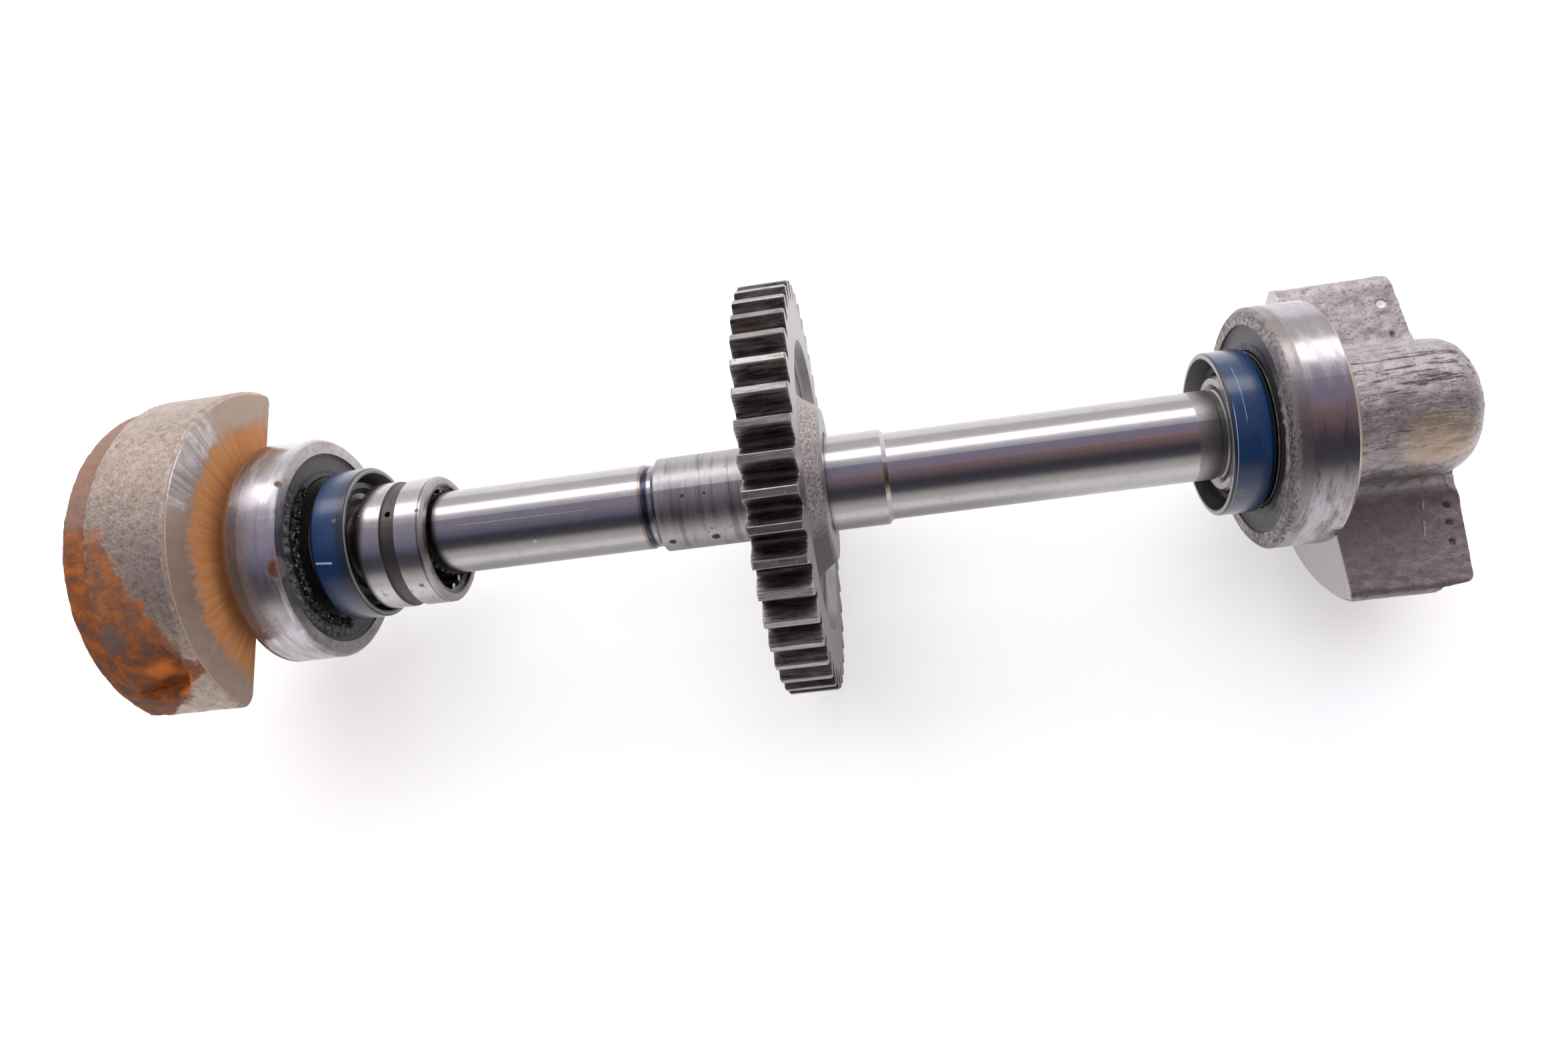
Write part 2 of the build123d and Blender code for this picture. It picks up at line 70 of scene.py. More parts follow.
# %% Camera
CAMERA_PLACE = (0.0308, -0.0989, 0.3024)
CAMERA_TURNS = (15.508, 8.025, -5.173)   # degrees about X, Y and Z
CAMERA_LENS = 23.35                      # millimetres

camera_data = bpy.data.cameras.new("camera")
camera_data.lens = CAMERA_LENS
camera_data.sensor_width = 36
camera_data.clip_start = 0.01
camera = bpy.data.objects.new("camera", camera_data)
camera.location = CAMERA_PLACE
camera.rotation_euler = Euler([math.radians(turn) for turn in CAMERA_TURNS])
bpy.context.scene.collection.objects.link(camera)
bpy.context.scene.camera = camera
bpy.context.scene.view_settings.view_transform = "Standard"
print("camera at", CAMERA_PLACE)

# %% [markdown]
# Node trees read best as arithmetic. Port wraps one output socket, and an expression on ports
# adds the Math nodes. The reflected forms let a plain number stand on the left, as in 1 - mask.


# %% Node arithmetic
class Port:
    """One output socket; arithmetic on it adds Math nodes to its tree."""

    def __init__(self, owner, socket):
        self.owner = owner
        self.socket = socket

    def maths(self, operation, *others, clamp=False):
        inputs = {i: value for i, value in enumerate((self, *others))}
        return self.owner.add("Math", {"operation": operation, "use_clamp": clamp}, inputs)

    def __add__(self, other):
        return self.maths("ADD", other)

    def __sub__(self, other):
        return self.maths("SUBTRACT", other)

    def __rsub__(self, other):
        return self.owner.add("Math", {"operation": "SUBTRACT"}, {0: other, 1: self})

    def __mul__(self, other):
        return self.maths("MULTIPLY", other)

    def __truediv__(self, other):
        return self.maths("DIVIDE", other)

    def __pow__(self, other):
        return self.maths("POWER", other)

    __radd__ = __add__
    __rmul__ = __mul__

    def clamp(self):
        return self.maths("ADD", 0.0, clamp=True)

    def most(self, other):
        return self.maths("MAXIMUM", other)

    def rise(self, low, high):
        """0 below low, 1 above high, and smooth between; low may be above high."""
        inputs = {"Value": self, "From Min": low, "From Max": high}
        return self.owner.add("MapRange", {"interpolation_type": "SMOOTHSTEP"}, inputs)

    def band(self, low, high, soft):
        """1 between low and high, with edges as wide as soft."""
        return self.rise(low - soft, low + soft) * self.rise(high + soft, high - soft)


# %% [markdown]
# Tree is any node tree being built. Its add method makes any node, with the node's own settings
# first and then the values or links of its sockets. Its other methods make the nodes that most
# finishes need: they scale a vector, take it apart, or lay one colour over another by a mask.


# %% Node trees
class Tree:
    """A node tree being built."""

    def __init__(self, tree):
        self.tree = tree
        tree.nodes.clear()

    def add(self, kind, settings=(), inputs=(), output=0):
        """Add one node; give back one of its outputs, or the node itself if output is None."""
        node = self.tree.nodes.new(kind if "Node" in kind else "ShaderNode" + kind)
        for key, value in dict(settings).items():
            if key == "stops":
                self.set_stops(node.color_ramp, value)
            else:
                setattr(node, key, value)
        for key, value in dict(inputs).items():
            if isinstance(value, Port):
                self.tree.links.new(value.socket, node.inputs[key])
            else:
                node.inputs[key].default_value = value
        return node if output is None else Port(self, node.outputs[output])

    @staticmethod
    def set_stops(ramp, stops):
        while len(ramp.elements) < len(stops):
            ramp.elements.new(0.5)
        for element, (position, colour) in zip(ramp.elements, stops):
            element.position = position
            element.color = (*colour, 1)

    def scaled(self, vector, factors):
        return self.add("VectorMath", {"operation": "MULTIPLY"}, {0: vector, 1: factors})

    def combine(self, x, y, z):
        return self.add("CombineXYZ", {}, {0: x, 1: y, 2: z})

    def split(self, vector):
        parts = self.add("SeparateXYZ", {}, {0: vector}, output=None)
        return [Port(self, parts.outputs[i]) for i in range(3)]

    def mix(self, mask, low, high):
        """Colour low where mask is 0 and high where it is 1."""
        low = low if isinstance(low, Port) else (*low, 1)
        high = high if isinstance(high, Port) else (*high, 1)
        return self.add("Mix", {"data_type": "RGBA"}, {0: mask, 6: low, 7: high}, output=2)

    def ramp(self, value, stops):
        return self.add("ValToRGB", {"stops": stops}, {0: value})


# %% [markdown]
# Paint is a Tree for one material. A finish here is a base colour with layers over it, as a
# painter weathers a model: each layer's mask is 0 where nothing changes and 1 where its colour
# covers. Masks read Object coordinates in millimetres, so a mark stands where it was measured
# and turns with its piece. Angles are in degrees from the top, and grow towards the viewer.


# %% Materials
class Paint(Tree):
    """A material being built on Object coordinates, in millimetres."""

    def __init__(self, name):
        self.material = bpy.data.materials.new(name)
        self.material.use_nodes = True
        super().__init__(self.material.node_tree)
        self.place = self.scaled(self.add("TexCoord", output="Object"), (1000, 1000, 1000))
        self.x, self.y, self.z = self.split(self.place)
        self.radius = (self.y * self.y + self.z * self.z) ** 0.5
        self.angle = (self.y * -1).maths("ARCTAN2", self.z) * (180 / math.pi)

    def noise(self, size, vector=None, detail=3.0, rough=0.55):
        """Cloudy pattern whose patches are about size millimetres across."""
        inputs = {"Vector": vector or self.place, "Scale": 1 / size, "Detail": detail, "Roughness": rough}
        return self.add("TexNoise", {}, inputs)

    def near(self, point, reach, soft=0.6, warp=None, squash=(1, 1, 1)):
        """1 round a point in millimetres, falling to 0 at reach; squash above 1 narrows that axis."""
        if squash != (1, 1, 1):
            place = self.scaled(self.place, squash)
            point = tuple(p * s for p, s in zip(point, squash))
        else:
            place = self.place
        distance = self.add("VectorMath", {"operation": "DISTANCE"}, {0: place, 1: point}, output=1)
        if warp is not None:
            distance = distance + warp
        return distance.rise(reach, reach * (1 - soft))

    def all_of(self, masks):
        """The sum of some masks, or an empty mask where there are none."""
        return sum(masks, start=self.x * 0)

    def spots(self, places, warp):
        """1 in several round spots, each given as its point and its reach."""
        return self.all_of(self.near(point, reach, 0.5, warp) for point, reach in places)

    def scratch(self, start, end, width):
        """1 along a straight line between two points, which fades at its ends."""
        span = Vector(end) - Vector(start)
        offset = self.add("VectorMath", {"operation": "SUBTRACT"}, {0: self.place, 1: start})
        inputs = {0: offset, 1: tuple(span / span.length_squared)}
        along = self.add("VectorMath", {"operation": "DOT_PRODUCT"}, inputs, output=1)
        foot = self.add("VectorMath", {"operation": "SCALE"}, {0: tuple(span), "Scale": along})
        gap = self.add("VectorMath", {"operation": "DISTANCE"}, {0: offset, 1: foot}, output=1)
        return gap.rise(width, width * 0.3) * along.band(0.06, 0.94, 0.06)

    def turned_lines(self, size, wander=0.02, rough=0.7):
        """Fine lines that run round the shaft, as a lathe or a grinder leaves them."""
        return self.noise(size, self.scaled(self.place, (1, wander, wander)), detail=4, rough=rough)

    def bump(self, height, depth):
        """Raise the surface by height times depth, in millimetres."""
        return self.add("Bump", {}, {"Height": height, "Distance": depth * MM, "Strength": 1.0})

    def finish(self, colour, rough, metal, normal, fixed=()):
        """Close the material with one shader. fixed holds sockets that are the same all over."""
        inputs = {"Base Color": colour, "Roughness": rough, "Metallic": metal, "Normal": normal}
        shader = self.add("BsdfPrincipled", {}, {**inputs, **dict(fixed)})
        self.add("OutputMaterial", {}, {"Surface": shader}, output=None)
        return self.material


def wear(node, material):
    """Give a solid its finish."""
    slots = nodes[node].data.materials
    slots.clear()
    slots.append(material)


# %% [markdown]
# Polished steel shows little of its own colour: it shows the room. The real shaft mirrors a long
# white lamp behind it, a dark gap above, with a trace of red and violet beside it, and a pale
# table. The room here has the same things. The world paints them by direction, an area lamp is
# the long lamp, and the floor is the table. The floor adds a little white of its own for rays
# that come from the camera or from a mirror, which whitens the background and spares the shadow.
# Mirrors get less of it right under the shaft, where the real table was in shade.

# %% Floor
FLOOR_COLOUR = (0.84, 0.83, 0.83, 1)
FLOOR_EDGE = 6.0                       # half the floor's width, in metres
FLOOR_WHITE = 0.42                     # extra white that only the camera and mirrors see
SHADE_ALONG = (-0.16, 0.09)            # where mirrors see less of that white, in metres
SHADE_ACROSS = (-0.14, 0.05)
floor_height = cad_box[0][2]


def make_floor():
    mesh = bpy.data.meshes.new("floor")
    signs = ((-1, -1), (1, -1), (1, 1), (-1, 1))
    corners = [(x * FLOOR_EDGE, y * FLOOR_EDGE, floor_height) for x, y in signs]
    mesh.from_pydata(corners, [], [(0, 1, 2, 3)])
    floor = bpy.data.objects.new("floor", mesh)
    bpy.context.scene.collection.objects.link(floor)
    material = bpy.data.materials.new("pale floor")
    material.use_nodes = True
    pen = Tree(material.node_tree)
    rays = pen.add("LightPath", output=None)
    kinds = [Port(pen, rays.outputs[f"Is {kind} Ray"]) for kind in ("Camera", "Glossy", "Transmission")]
    along, across, _ = pen.split(pen.add("TexCoord", output="Object"))
    under_shaft = across.band(*SHADE_ACROSS, 0.04) * along.band(*SHADE_ALONG, 0.03)
    seen = (kinds[0] + (kinds[1] + kinds[2]) * (1 - under_shaft * 0.9)).clamp()
    matt = pen.add("BsdfDiffuse", {}, {"Color": FLOOR_COLOUR})
    white = pen.add("Emission", {}, {"Color": (1, 1, 1, 1), "Strength": seen * FLOOR_WHITE})
    both = pen.add("AddShader", {}, {0: matt, 1: white})
    pen.add("OutputMaterial", {}, {"Surface": both}, output=None)
    mesh.materials.append(material)
    floor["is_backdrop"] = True


make_floor()
print("floor at", round(floor_height / MM, 2), "mm")


# %% Room
# Degrees from straight up, towards +Y when positive, with the colour of the room there
ROOM_BELOW = [(-180, (0.80, 0.79, 0.78)), (-84, (0.78, 0.75, 0.74)), (-75, (0.62, 0.59, 0.58)),
              (-60, (0.10, 0.10, 0.12)), (-38, (0.065, 0.062, 0.085))]
ROOM_ABOVE = [(30, (0.62, 0.60, 0.68)), (58, (0.95, 0.91, 0.95)), (82, (0.90, 0.88, 0.88)),
              (180, (0.80, 0.79, 0.78))]
ROOM_LEFT = ROOM_BELOW + [(-24, (0.20, 0.21, 0.32)), (-8, (0.32, 0.31, 0.40)), (0, (0.36, 0.34, 0.42)),
                          (17, (0.42, 0.40, 0.48))] + ROOM_ABOVE
ROOM_RIGHT = ROOM_BELOW + [(-24, (0.22, 0.155, 0.16)), (-8, (0.34, 0.22, 0.23)), (-4, (0.50, 0.34, 0.40)),
                           (0, (0.34, 0.29, 0.40)), (17, (0.38, 0.36, 0.50))] + ROOM_ABOVE


def make_world():
    world = bpy.data.worlds.new("studio")
    world.use_nodes = True
    pen = Tree(world.node_tree)
    along, across, up = pen.split(pen.add("TexCoord", output="Generated"))
    tilt = (across.maths("ARCTAN2", up) * (180 / math.pi) + 180) / 360
    halves = [pen.ramp(tilt, [((angle + 180) / 360, shade) for angle, shade in room])
              for room in (ROOM_LEFT, ROOM_RIGHT)]
    colour = pen.mix(along.rise(-0.35, 0.15), *halves)
    background = pen.add("Background", {}, {"Color": colour, "Strength": 1.0})
    pen.add("OutputWorld", {}, {"Surface": background}, output=None)
    bpy.context.scene.world = world


make_world()
print("room colours:", len(ROOM_LEFT), "on the left,", len(ROOM_RIGHT), "on the right")


# %% Lamps
def make_lamp(name, place, size, power):
    """A white area lamp that points at the gear."""
    data = bpy.data.lights.new(name, "AREA")
    data.shape = "RECTANGLE"
    data.size, data.size_y = size
    data.energy = power
    lamp = bpy.data.objects.new(name, data)
    lamp.location = place
    lamp.rotation_euler = (-Vector(place)).to_track_quat("-Z", "Y").to_euler()
    bpy.context.scene.collection.objects.link(lamp)
    return lamp


make_lamp("long lamp", (0.0, 0.70, 0.64), (1.6, 0.36), 4.6)
soft_lamp = make_lamp("soft lamp", (-0.1, 0.25, 1.0), (0.9, 0.9), 6.0)
soft_lamp.visible_glossy = False       # it lights matt surfaces and stays out of the mirrors
print("two lamps")

# %% [markdown]
# The shaft is ground steel: a metal with fine lines round it. An image could show them, but it
# needs a UV map and blurs close up. The lines vary along the shaft only, so a noise pattern that
# is stretched round it gives them, and it feeds the roughness and a little of the height. Beside
# the left collar the shaft was once heated, which left a straw ring and a blue ring. The marks of
# use are put at their places in millimetres.

# %% Ground steel of the shaft
LEFT_COLLAR = (-41.5, -7.5)            # places along the shaft
LEFT_GROOVE = (-43.9, -41.9)
RIGHT_GROOVE = (28.4, 30.2)
STRAW_RING = (-46.9, -46.0)
BLUE_RING = (-45.8, -44.0)
DULL_END = 119.6                       # the dull end of the right span starts here
COLLAR_SPOTS = [((-38.4, -13.9, 5.2), 1.5), ((-24.7, -13.9, 5.1), 1.7),
                ((-32.6, -2.6, 14.6), 0.8), ((-25.8, -2.6, 14.6), 0.7)]


def ground_steel():
    p = Paint("ground steel")
    fine = p.turned_lines(0.22)
    broad = p.turned_lines(2.2, wander=0.06)
    cloud = p.noise(9.0, detail=4)
    mottle = p.noise(2.6, detail=5, rough=0.65)
    collar = p.x.band(*LEFT_COLLAR, 0.25)
    dull = p.x.rise(DULL_END, DULL_END + 0.6)
    stripes = collar * broad.rise(0.44, 0.60)
    colour = p.mix(cloud, (0.39, 0.375, 0.38), (0.48, 0.465, 0.465))
    colour = p.mix(mottle.rise(0.52, 0.72) * 0.4, colour, (0.33, 0.305, 0.295))
    colour = p.mix(collar * 0.6, colour, (0.29, 0.275, 0.27))
    colour = p.mix(stripes * 0.6, colour, (0.46, 0.44, 0.43))
    colour = p.mix(collar * broad.rise(0.44, 0.36) * 0.6, colour, (0.17, 0.16, 0.165))
    colour = p.mix(dull * 0.6, colour, (0.36, 0.345, 0.33))

    wavy = p.x + (p.noise(6.0) - 0.5) * 0.8
    # A painted golden highlight on the upper side of the right groove's chamfer.
    painted_glint = p.x.band(*RIGHT_GROOVE, 0.3) * p.angle.band(5, 40, 8)
    colour = p.mix(p.x.band(*LEFT_GROOVE, 0.3) * 0.5, colour, (0.22, 0.225, 0.25))
    colour = p.mix(wavy.band(*STRAW_RING, 0.6) * 0.7, colour, (0.22, 0.105, 0.055))
    colour = p.mix(wavy.band(*BLUE_RING, 0.45) * 0.94, colour, (0.022, 0.025, 0.050))
    colour = p.mix(painted_glint * 0.6, colour, (0.62, 0.50, 0.28))

    spots = p.spots(COLLAR_SPOTS, (p.noise(0.7) - 0.5) * 0.9)
    spots = spots + collar * p.noise(1.3, detail=2).rise(0.70, 0.76) * 0.7
    colour = p.mix(spots.clamp() * 0.85, colour, (0.13, 0.075, 0.035))
    scratch = p.scratch((-108.9, -2.1, 13.3), (-59.2, -2.5, 13.3), 0.16)
    marks = scratch + p.near((-81.2, -9.6, 9.5), 0.7, 0.3)
    colour = p.mix(marks.clamp() * 0.6, colour, (0.85, 0.84, 0.84))

    rough = 0.12 + fine * 0.12 + collar * 0.15 + dull * 0.24 + mottle.rise(0.5, 0.8) * 0.12
    rough = (rough + spots * 0.4 + stripes * 0.08).clamp()
    height = fine - marks * 3.0 - spots.clamp() * 1.5
    return p.finish(colour, rough, 1.0, p.bump(height, 0.008))


wear("balance_shaft", ground_steel())
print("shaft finished, with", len(COLLAR_SPOTS), "brown spots on its collar")

# %% [markdown]
# A bearing's outer ring is polished, with a duller face on each side. These two have been out of
# the engine for a while: the left one is rubbed, with rust along its far edge, and the right one
# is stained and chipped towards the gear. The marks could be painted by hand on an image. Masks
# at measured places stay sharp at any distance, and one function then makes both rings, because
# the polish is the same and only the marks differ.

# %% Outer rings
LEFT_BEARING = (-169.0, -152.0)        # faces along the shaft
RIGHT_BEARING = (137.7, 154.7)
BEARING_RADIUS = 36.0
LEFT_RUST_EDGE = LEFT_BEARING[0] + 2.0
LEFT_RUST_SPOTS = [((-152.0, -14.5, 31.8), 4.4), ((-152.2, 11.5, 33.5), 1.6)]


def shade_of(colour, factor):
    return tuple(value * factor for value in colour)


def ring_steel(name, faces, tone, stained, rust_edge, rust_spots=()):
    """stained is 1 for the ring with stains and chips, and 0 for the one with a rubbed band."""
    low, high = faces
    p = Paint(name)
    fine = p.turned_lines(0.16)
    broad = p.turned_lines(3.0, wander=0.10)
    mottle = p.noise(3.2, detail=5, rough=0.62)
    grain = p.noise(0.5, detail=3)
    side = p.radius.rise(BEARING_RADIUS - 0.4, BEARING_RADIUS - 1.0)
    ragged = (p.noise(1.4, detail=4) - 0.5) * 2.2
    colour = p.mix(mottle, shade_of((0.42, 0.40, 0.42), tone), shade_of((0.54, 0.515, 0.535), tone))
    colour = p.mix(broad.rise(0.48, 0.70) * 0.35, colour, (0.28, 0.255, 0.25))

    rubbed = 1 - stained
    # Painted shade: the rubbed ring turns darker from 48 degrees round from the top towards the viewer,
    # fully so past 80.
    colour = p.mix(p.angle.rise(48, 80) * rubbed * 0.5, colour, (0.19, 0.175, 0.178))
    fretted = rubbed * (p.x + ragged * 0.2).rise(low + 5.6, low + 4.9) * (1 - side)
    colour = p.mix(fretted * 0.45, colour, (0.19, 0.17, 0.18))
    smudge = p.noise(5.0, p.scaled(p.place, (1.8, 0.4, 0.4)), detail=5, rough=0.66)
    # Dirt smudges, kept by angle to the band of each ring that mirrors the dark part of the room, so
    # there they are also a painted dark reflection.
    smudges_and_shade = smudge.rise(0.46, 0.66) * (0.30 + stained * 0.40)
    smudges_and_shade = smudges_and_shade * p.angle.rise(30 - stained * 35, 55 - stained * 25)
    colour = p.mix(smudges_and_shade, colour, (0.12, 0.10, 0.098))
    scuffed = p.angle.band(52, 100, 12) * p.noise(2.6, detail=5, rough=0.7).rise(0.53, 0.62)
    colour = p.mix(scuffed * 0.5, colour, (0.60, 0.575, 0.56))
    shoulder = stained * p.x.rise(low + 4.9, low + 4.1) * p.radius.rise(34, 35)
    colour = p.mix(shoulder * 0.6, colour, p.mix(mottle, (0.15, 0.125, 0.115), (0.34, 0.30, 0.275)))

    rust = (p.x + ragged * 0.5 - rust_edge).rise(0.6, -0.3) + p.spots(rust_spots, ragged * 0.4)
    rust = rust.clamp()
    spot_rust = p.mix(grain, (0.045, 0.016, 0.008), (0.27, 0.095, 0.035))
    edge_rust = p.mix(grain, (0.10, 0.032, 0.010), (0.44, 0.165, 0.06))
    colour = p.mix(rust * 0.95, colour, p.mix((p.x - rust_edge).rise(1.2, 0.4), spot_rust, edge_rust))

    stain = stained * (p.x + ragged * 0.6).rise(low + 1.8, low + 0.6)
    stain = stain * p.noise(1.6, detail=4).rise(0.44, 0.56)
    colour = p.mix(stain * 0.45, colour, p.mix(grain, (0.30, 0.23, 0.18), (0.60, 0.52, 0.44)))
    chips = stained * (p.x + ragged * 0.3).rise(low + 1.9, low + 0.4)
    chips = chips * p.noise(1.0, detail=3).rise(0.53, 0.60)
    colour = p.mix(chips * 0.6, colour, (0.05, 0.04, 0.035))
    colour = p.mix(stained * p.x.rise(high - 1.5, high - 0.8) * 0.7, colour, (0.42, 0.29, 0.15))
    colour = p.mix(side * 0.6, colour, p.mix(mottle, (0.24, 0.22, 0.20), (0.44, 0.415, 0.395)))
    film = side * p.noise(1.8, detail=5, rough=0.7).rise(0.52, 0.64)
    colour = p.mix(film * 0.5, colour, (0.20, 0.13, 0.09))

    rough = 0.15 + fine * 0.10 + smudge.rise(0.45, 0.65) * 0.14 + scuffed * 0.2 + side * 0.18
    rough = (rough + shoulder * 0.15 + rust * 0.35 + stain * 0.3 + chips * 0.3).clamp()
    metal = 1 - (rust * 0.35 + chips * 0.7).clamp()
    height = fine * 0.6 + grain * (rust + stain) * 2.0 - chips * 2.0 + scuffed * 0.6
    return p.finish(colour, rough, metal, p.bump(height, 0.012))


wear("left_bearing_outer_ring",
     ring_steel("left ring steel", LEFT_BEARING, 1.22, 0.0, LEFT_RUST_EDGE, LEFT_RUST_SPOTS))
wear("right_bearing_outer_ring",
     ring_steel("right ring steel", RIGHT_BEARING, 0.84, 1.0, RIGHT_BEARING[0] - 5))
print("outer rings finished")

# %% [markdown]
# The inner rings, cages, balls and springs are mostly out of sight, so one plain finish with fine lines
# serves them all. The two pieces that show beside the left seal lie in a dark gap with old grease on
# them, and they get a dark and dull version of it: grease and painted shade together.


# %% Inner pieces of the bearings
def plain_steel(name, dark, light, rough, depth=0.006):
    """Clean steel for pieces that are mostly out of sight."""
    p = Paint(name)
    fine = p.turned_lines(0.3)
    cloud = p.noise(2.5, detail=4)
    return p.finish(p.mix(cloud, dark, light), rough + fine * 0.12, 1.0, p.bump(fine, depth))


inner_steel = plain_steel("inner ring steel", (0.38, 0.365, 0.37), (0.50, 0.485, 0.485), 0.16)
cage_steel = plain_steel("cage steel", (0.44, 0.43, 0.42), (0.58, 0.56, 0.54), 0.28)
ball_steel = plain_steel("ball steel", (0.72, 0.72, 0.73), (0.82, 0.82, 0.83), 0.04, depth=0.002)
spring_steel = plain_steel("spring steel", (0.38, 0.38, 0.39), (0.54, 0.54, 0.54), 0.30)
# Nearly black steel beside the left seal: old grease and painted shade.
grease_and_shade_steel = plain_steel("greasy steel", (0.035, 0.033, 0.032), (0.15, 0.145, 0.14), 0.45)
for side, ring, spring in (("left", grease_and_shade_steel, grease_and_shade_steel), ("right", inner_steel, spring_steel)):
    wear(f"{side}_bearing_inner_ring", ring)
    wear(f"{side}_bearing_cage", cage_steel)
    wear(f"{side}_bearing_balls", ball_steel)
    wear(f"{side}_seal_spring", spring)
wear("needle_bearing_cage", cage_steel)
wear("needle_bearing_rollers", ball_steel)
print("inner pieces finished")

# %% [markdown]
# The needle bearing's ring is ground and brushed. Brown stains gather where oil dried, the oil groove is
# dark and matt, and both lips are duller than the middle. A painted shadow line runs beside the lip at
# the gear's end. A second material on the groove's faces would end in a hard line, so a mask darkens it.
# The ring hangs loose, with its axis a little off the shaft's, so the masks use the ring's own radius.

# %% Needle bearing ring
NEEDLE_RING = (-136.4, -114.2)
NEEDLE_AXIS = (-1.245, -1.993)         # Y and Z of the ring's axis
NEEDLE_RADIUS = 20.64
NEEDLE_BORE = 18.4                     # inside this radius the ring is dark
NEEDLE_GROOVE = (-128.3, -123.3)
NEEDLE_PITS = [((-118.7, -18.8, 8.8), 1.1), ((-115.9, 2.7, 18.3), 0.9)]


def needle_steel():
    p = Paint("needle ring steel")
    low, high = NEEDLE_RING
    off_y, off_z = p.y - NEEDLE_AXIS[0], p.z - NEEDLE_AXIS[1]
    own_radius = (off_y * off_y + off_z * off_z) ** 0.5
    fine = p.turned_lines(0.14)
    mottle = p.noise(2.4, detail=5, rough=0.66)
    grain = p.noise(0.45)
    groove = p.x.band(*NEEDLE_GROOVE, 0.12) * own_radius.rise(NEEDLE_RADIUS - 0.05, NEEDLE_RADIUS - 0.3)
    inside = own_radius.rise(NEEDLE_BORE, NEEDLE_BORE - 0.4)
    edge = p.x.rise(low + 1.0, low + 0.2) + p.x.rise(high - 1.6, high - 0.5)
    colour = p.mix(mottle, (0.42, 0.405, 0.405), (0.55, 0.53, 0.52))
    stains = p.noise(1.7, p.scaled(p.place, (1, 0.6, 0.6)), detail=4, rough=0.7).rise(0.58, 0.68)
    colour = p.mix(stains * 0.55, colour, (0.25, 0.165, 0.115))
    colour = p.mix(edge * 0.4, colour, (0.22, 0.18, 0.155))
    # A painted shadow line where the lip at the gear's end meets the land.
    crimp_shadow = own_radius.rise(NEEDLE_BORE - 0.9, NEEDLE_BORE + 0.1)
    crimp_shadow = crimp_shadow * p.x.band(high - 1.9, high - 1.3, 0.25)
    colour = p.mix(crimp_shadow * 0.7, colour, (0.06, 0.05, 0.05))
    colour = p.mix(groove * 0.95, colour, p.mix(mottle, (0.075, 0.072, 0.076), (0.12, 0.112, 0.11)))
    crease = p.x.band(-127.0, -126.4, 0.25) * groove * mottle.rise(0.3, 0.6)
    colour = p.mix(crease * 0.25, colour, (0.24, 0.12, 0.06))
    ragged = (grain - 0.5) * 0.7
    pits = p.all_of(p.near(point, reach, 0.6, ragged) for point, reach in NEEDLE_PITS)
    rusty = p.near((-126.0, 1.9, 18.1), 2.2, 0.7, ragged * 2)
    colour = p.mix(pits.clamp() * 0.7, colour, (0.12, 0.085, 0.065))
    colour = p.mix(rusty * 0.45, colour, (0.24, 0.11, 0.07))
    colour = p.mix(inside * 0.85, colour, (0.10, 0.09, 0.09))
    rough = (0.16 + fine * 0.12 + stains * 0.2 + groove * 0.28 + edge * 0.12 + pits * 0.3).clamp()
    height = fine * 0.7 - pits.clamp() * 0.5 + grain * (stains + groove * 0.5)
    return p.finish(colour, rough, 1.0, p.bump(height, 0.012))


wear("needle_bearing_outer_ring", needle_steel())
print("needle ring done")

# %% [markdown]
# The oil seals are glossy blue rubber: a dark blue with a sharp sheen and fine streaks round them from
# handling. The rounded rim on the bore side is painted dark as shade, and the inside of the cup is dark
# grey-brown, with a painted pale reflection at its top. The sheen is the shader's coat: a clear layer
# with a roughness of its own, so that the rubber under it can be duller. One function makes both, and
# each gets its own scratches, stains and cuts.

# %% Seal rubber
SEAL_INSIDE_RADIUS = 23.2


def ring_mark(p, place, angles, width, slant=0.0):
    """1 along a line that runs part of the way round the shaft; angles are from the top."""
    line = p.x - place - p.angle * slant
    soft = (angles[1] - angles[0]) * 0.08
    return line.maths("ABSOLUTE").rise(width, width * 0.3) * p.angle.band(*angles, soft)


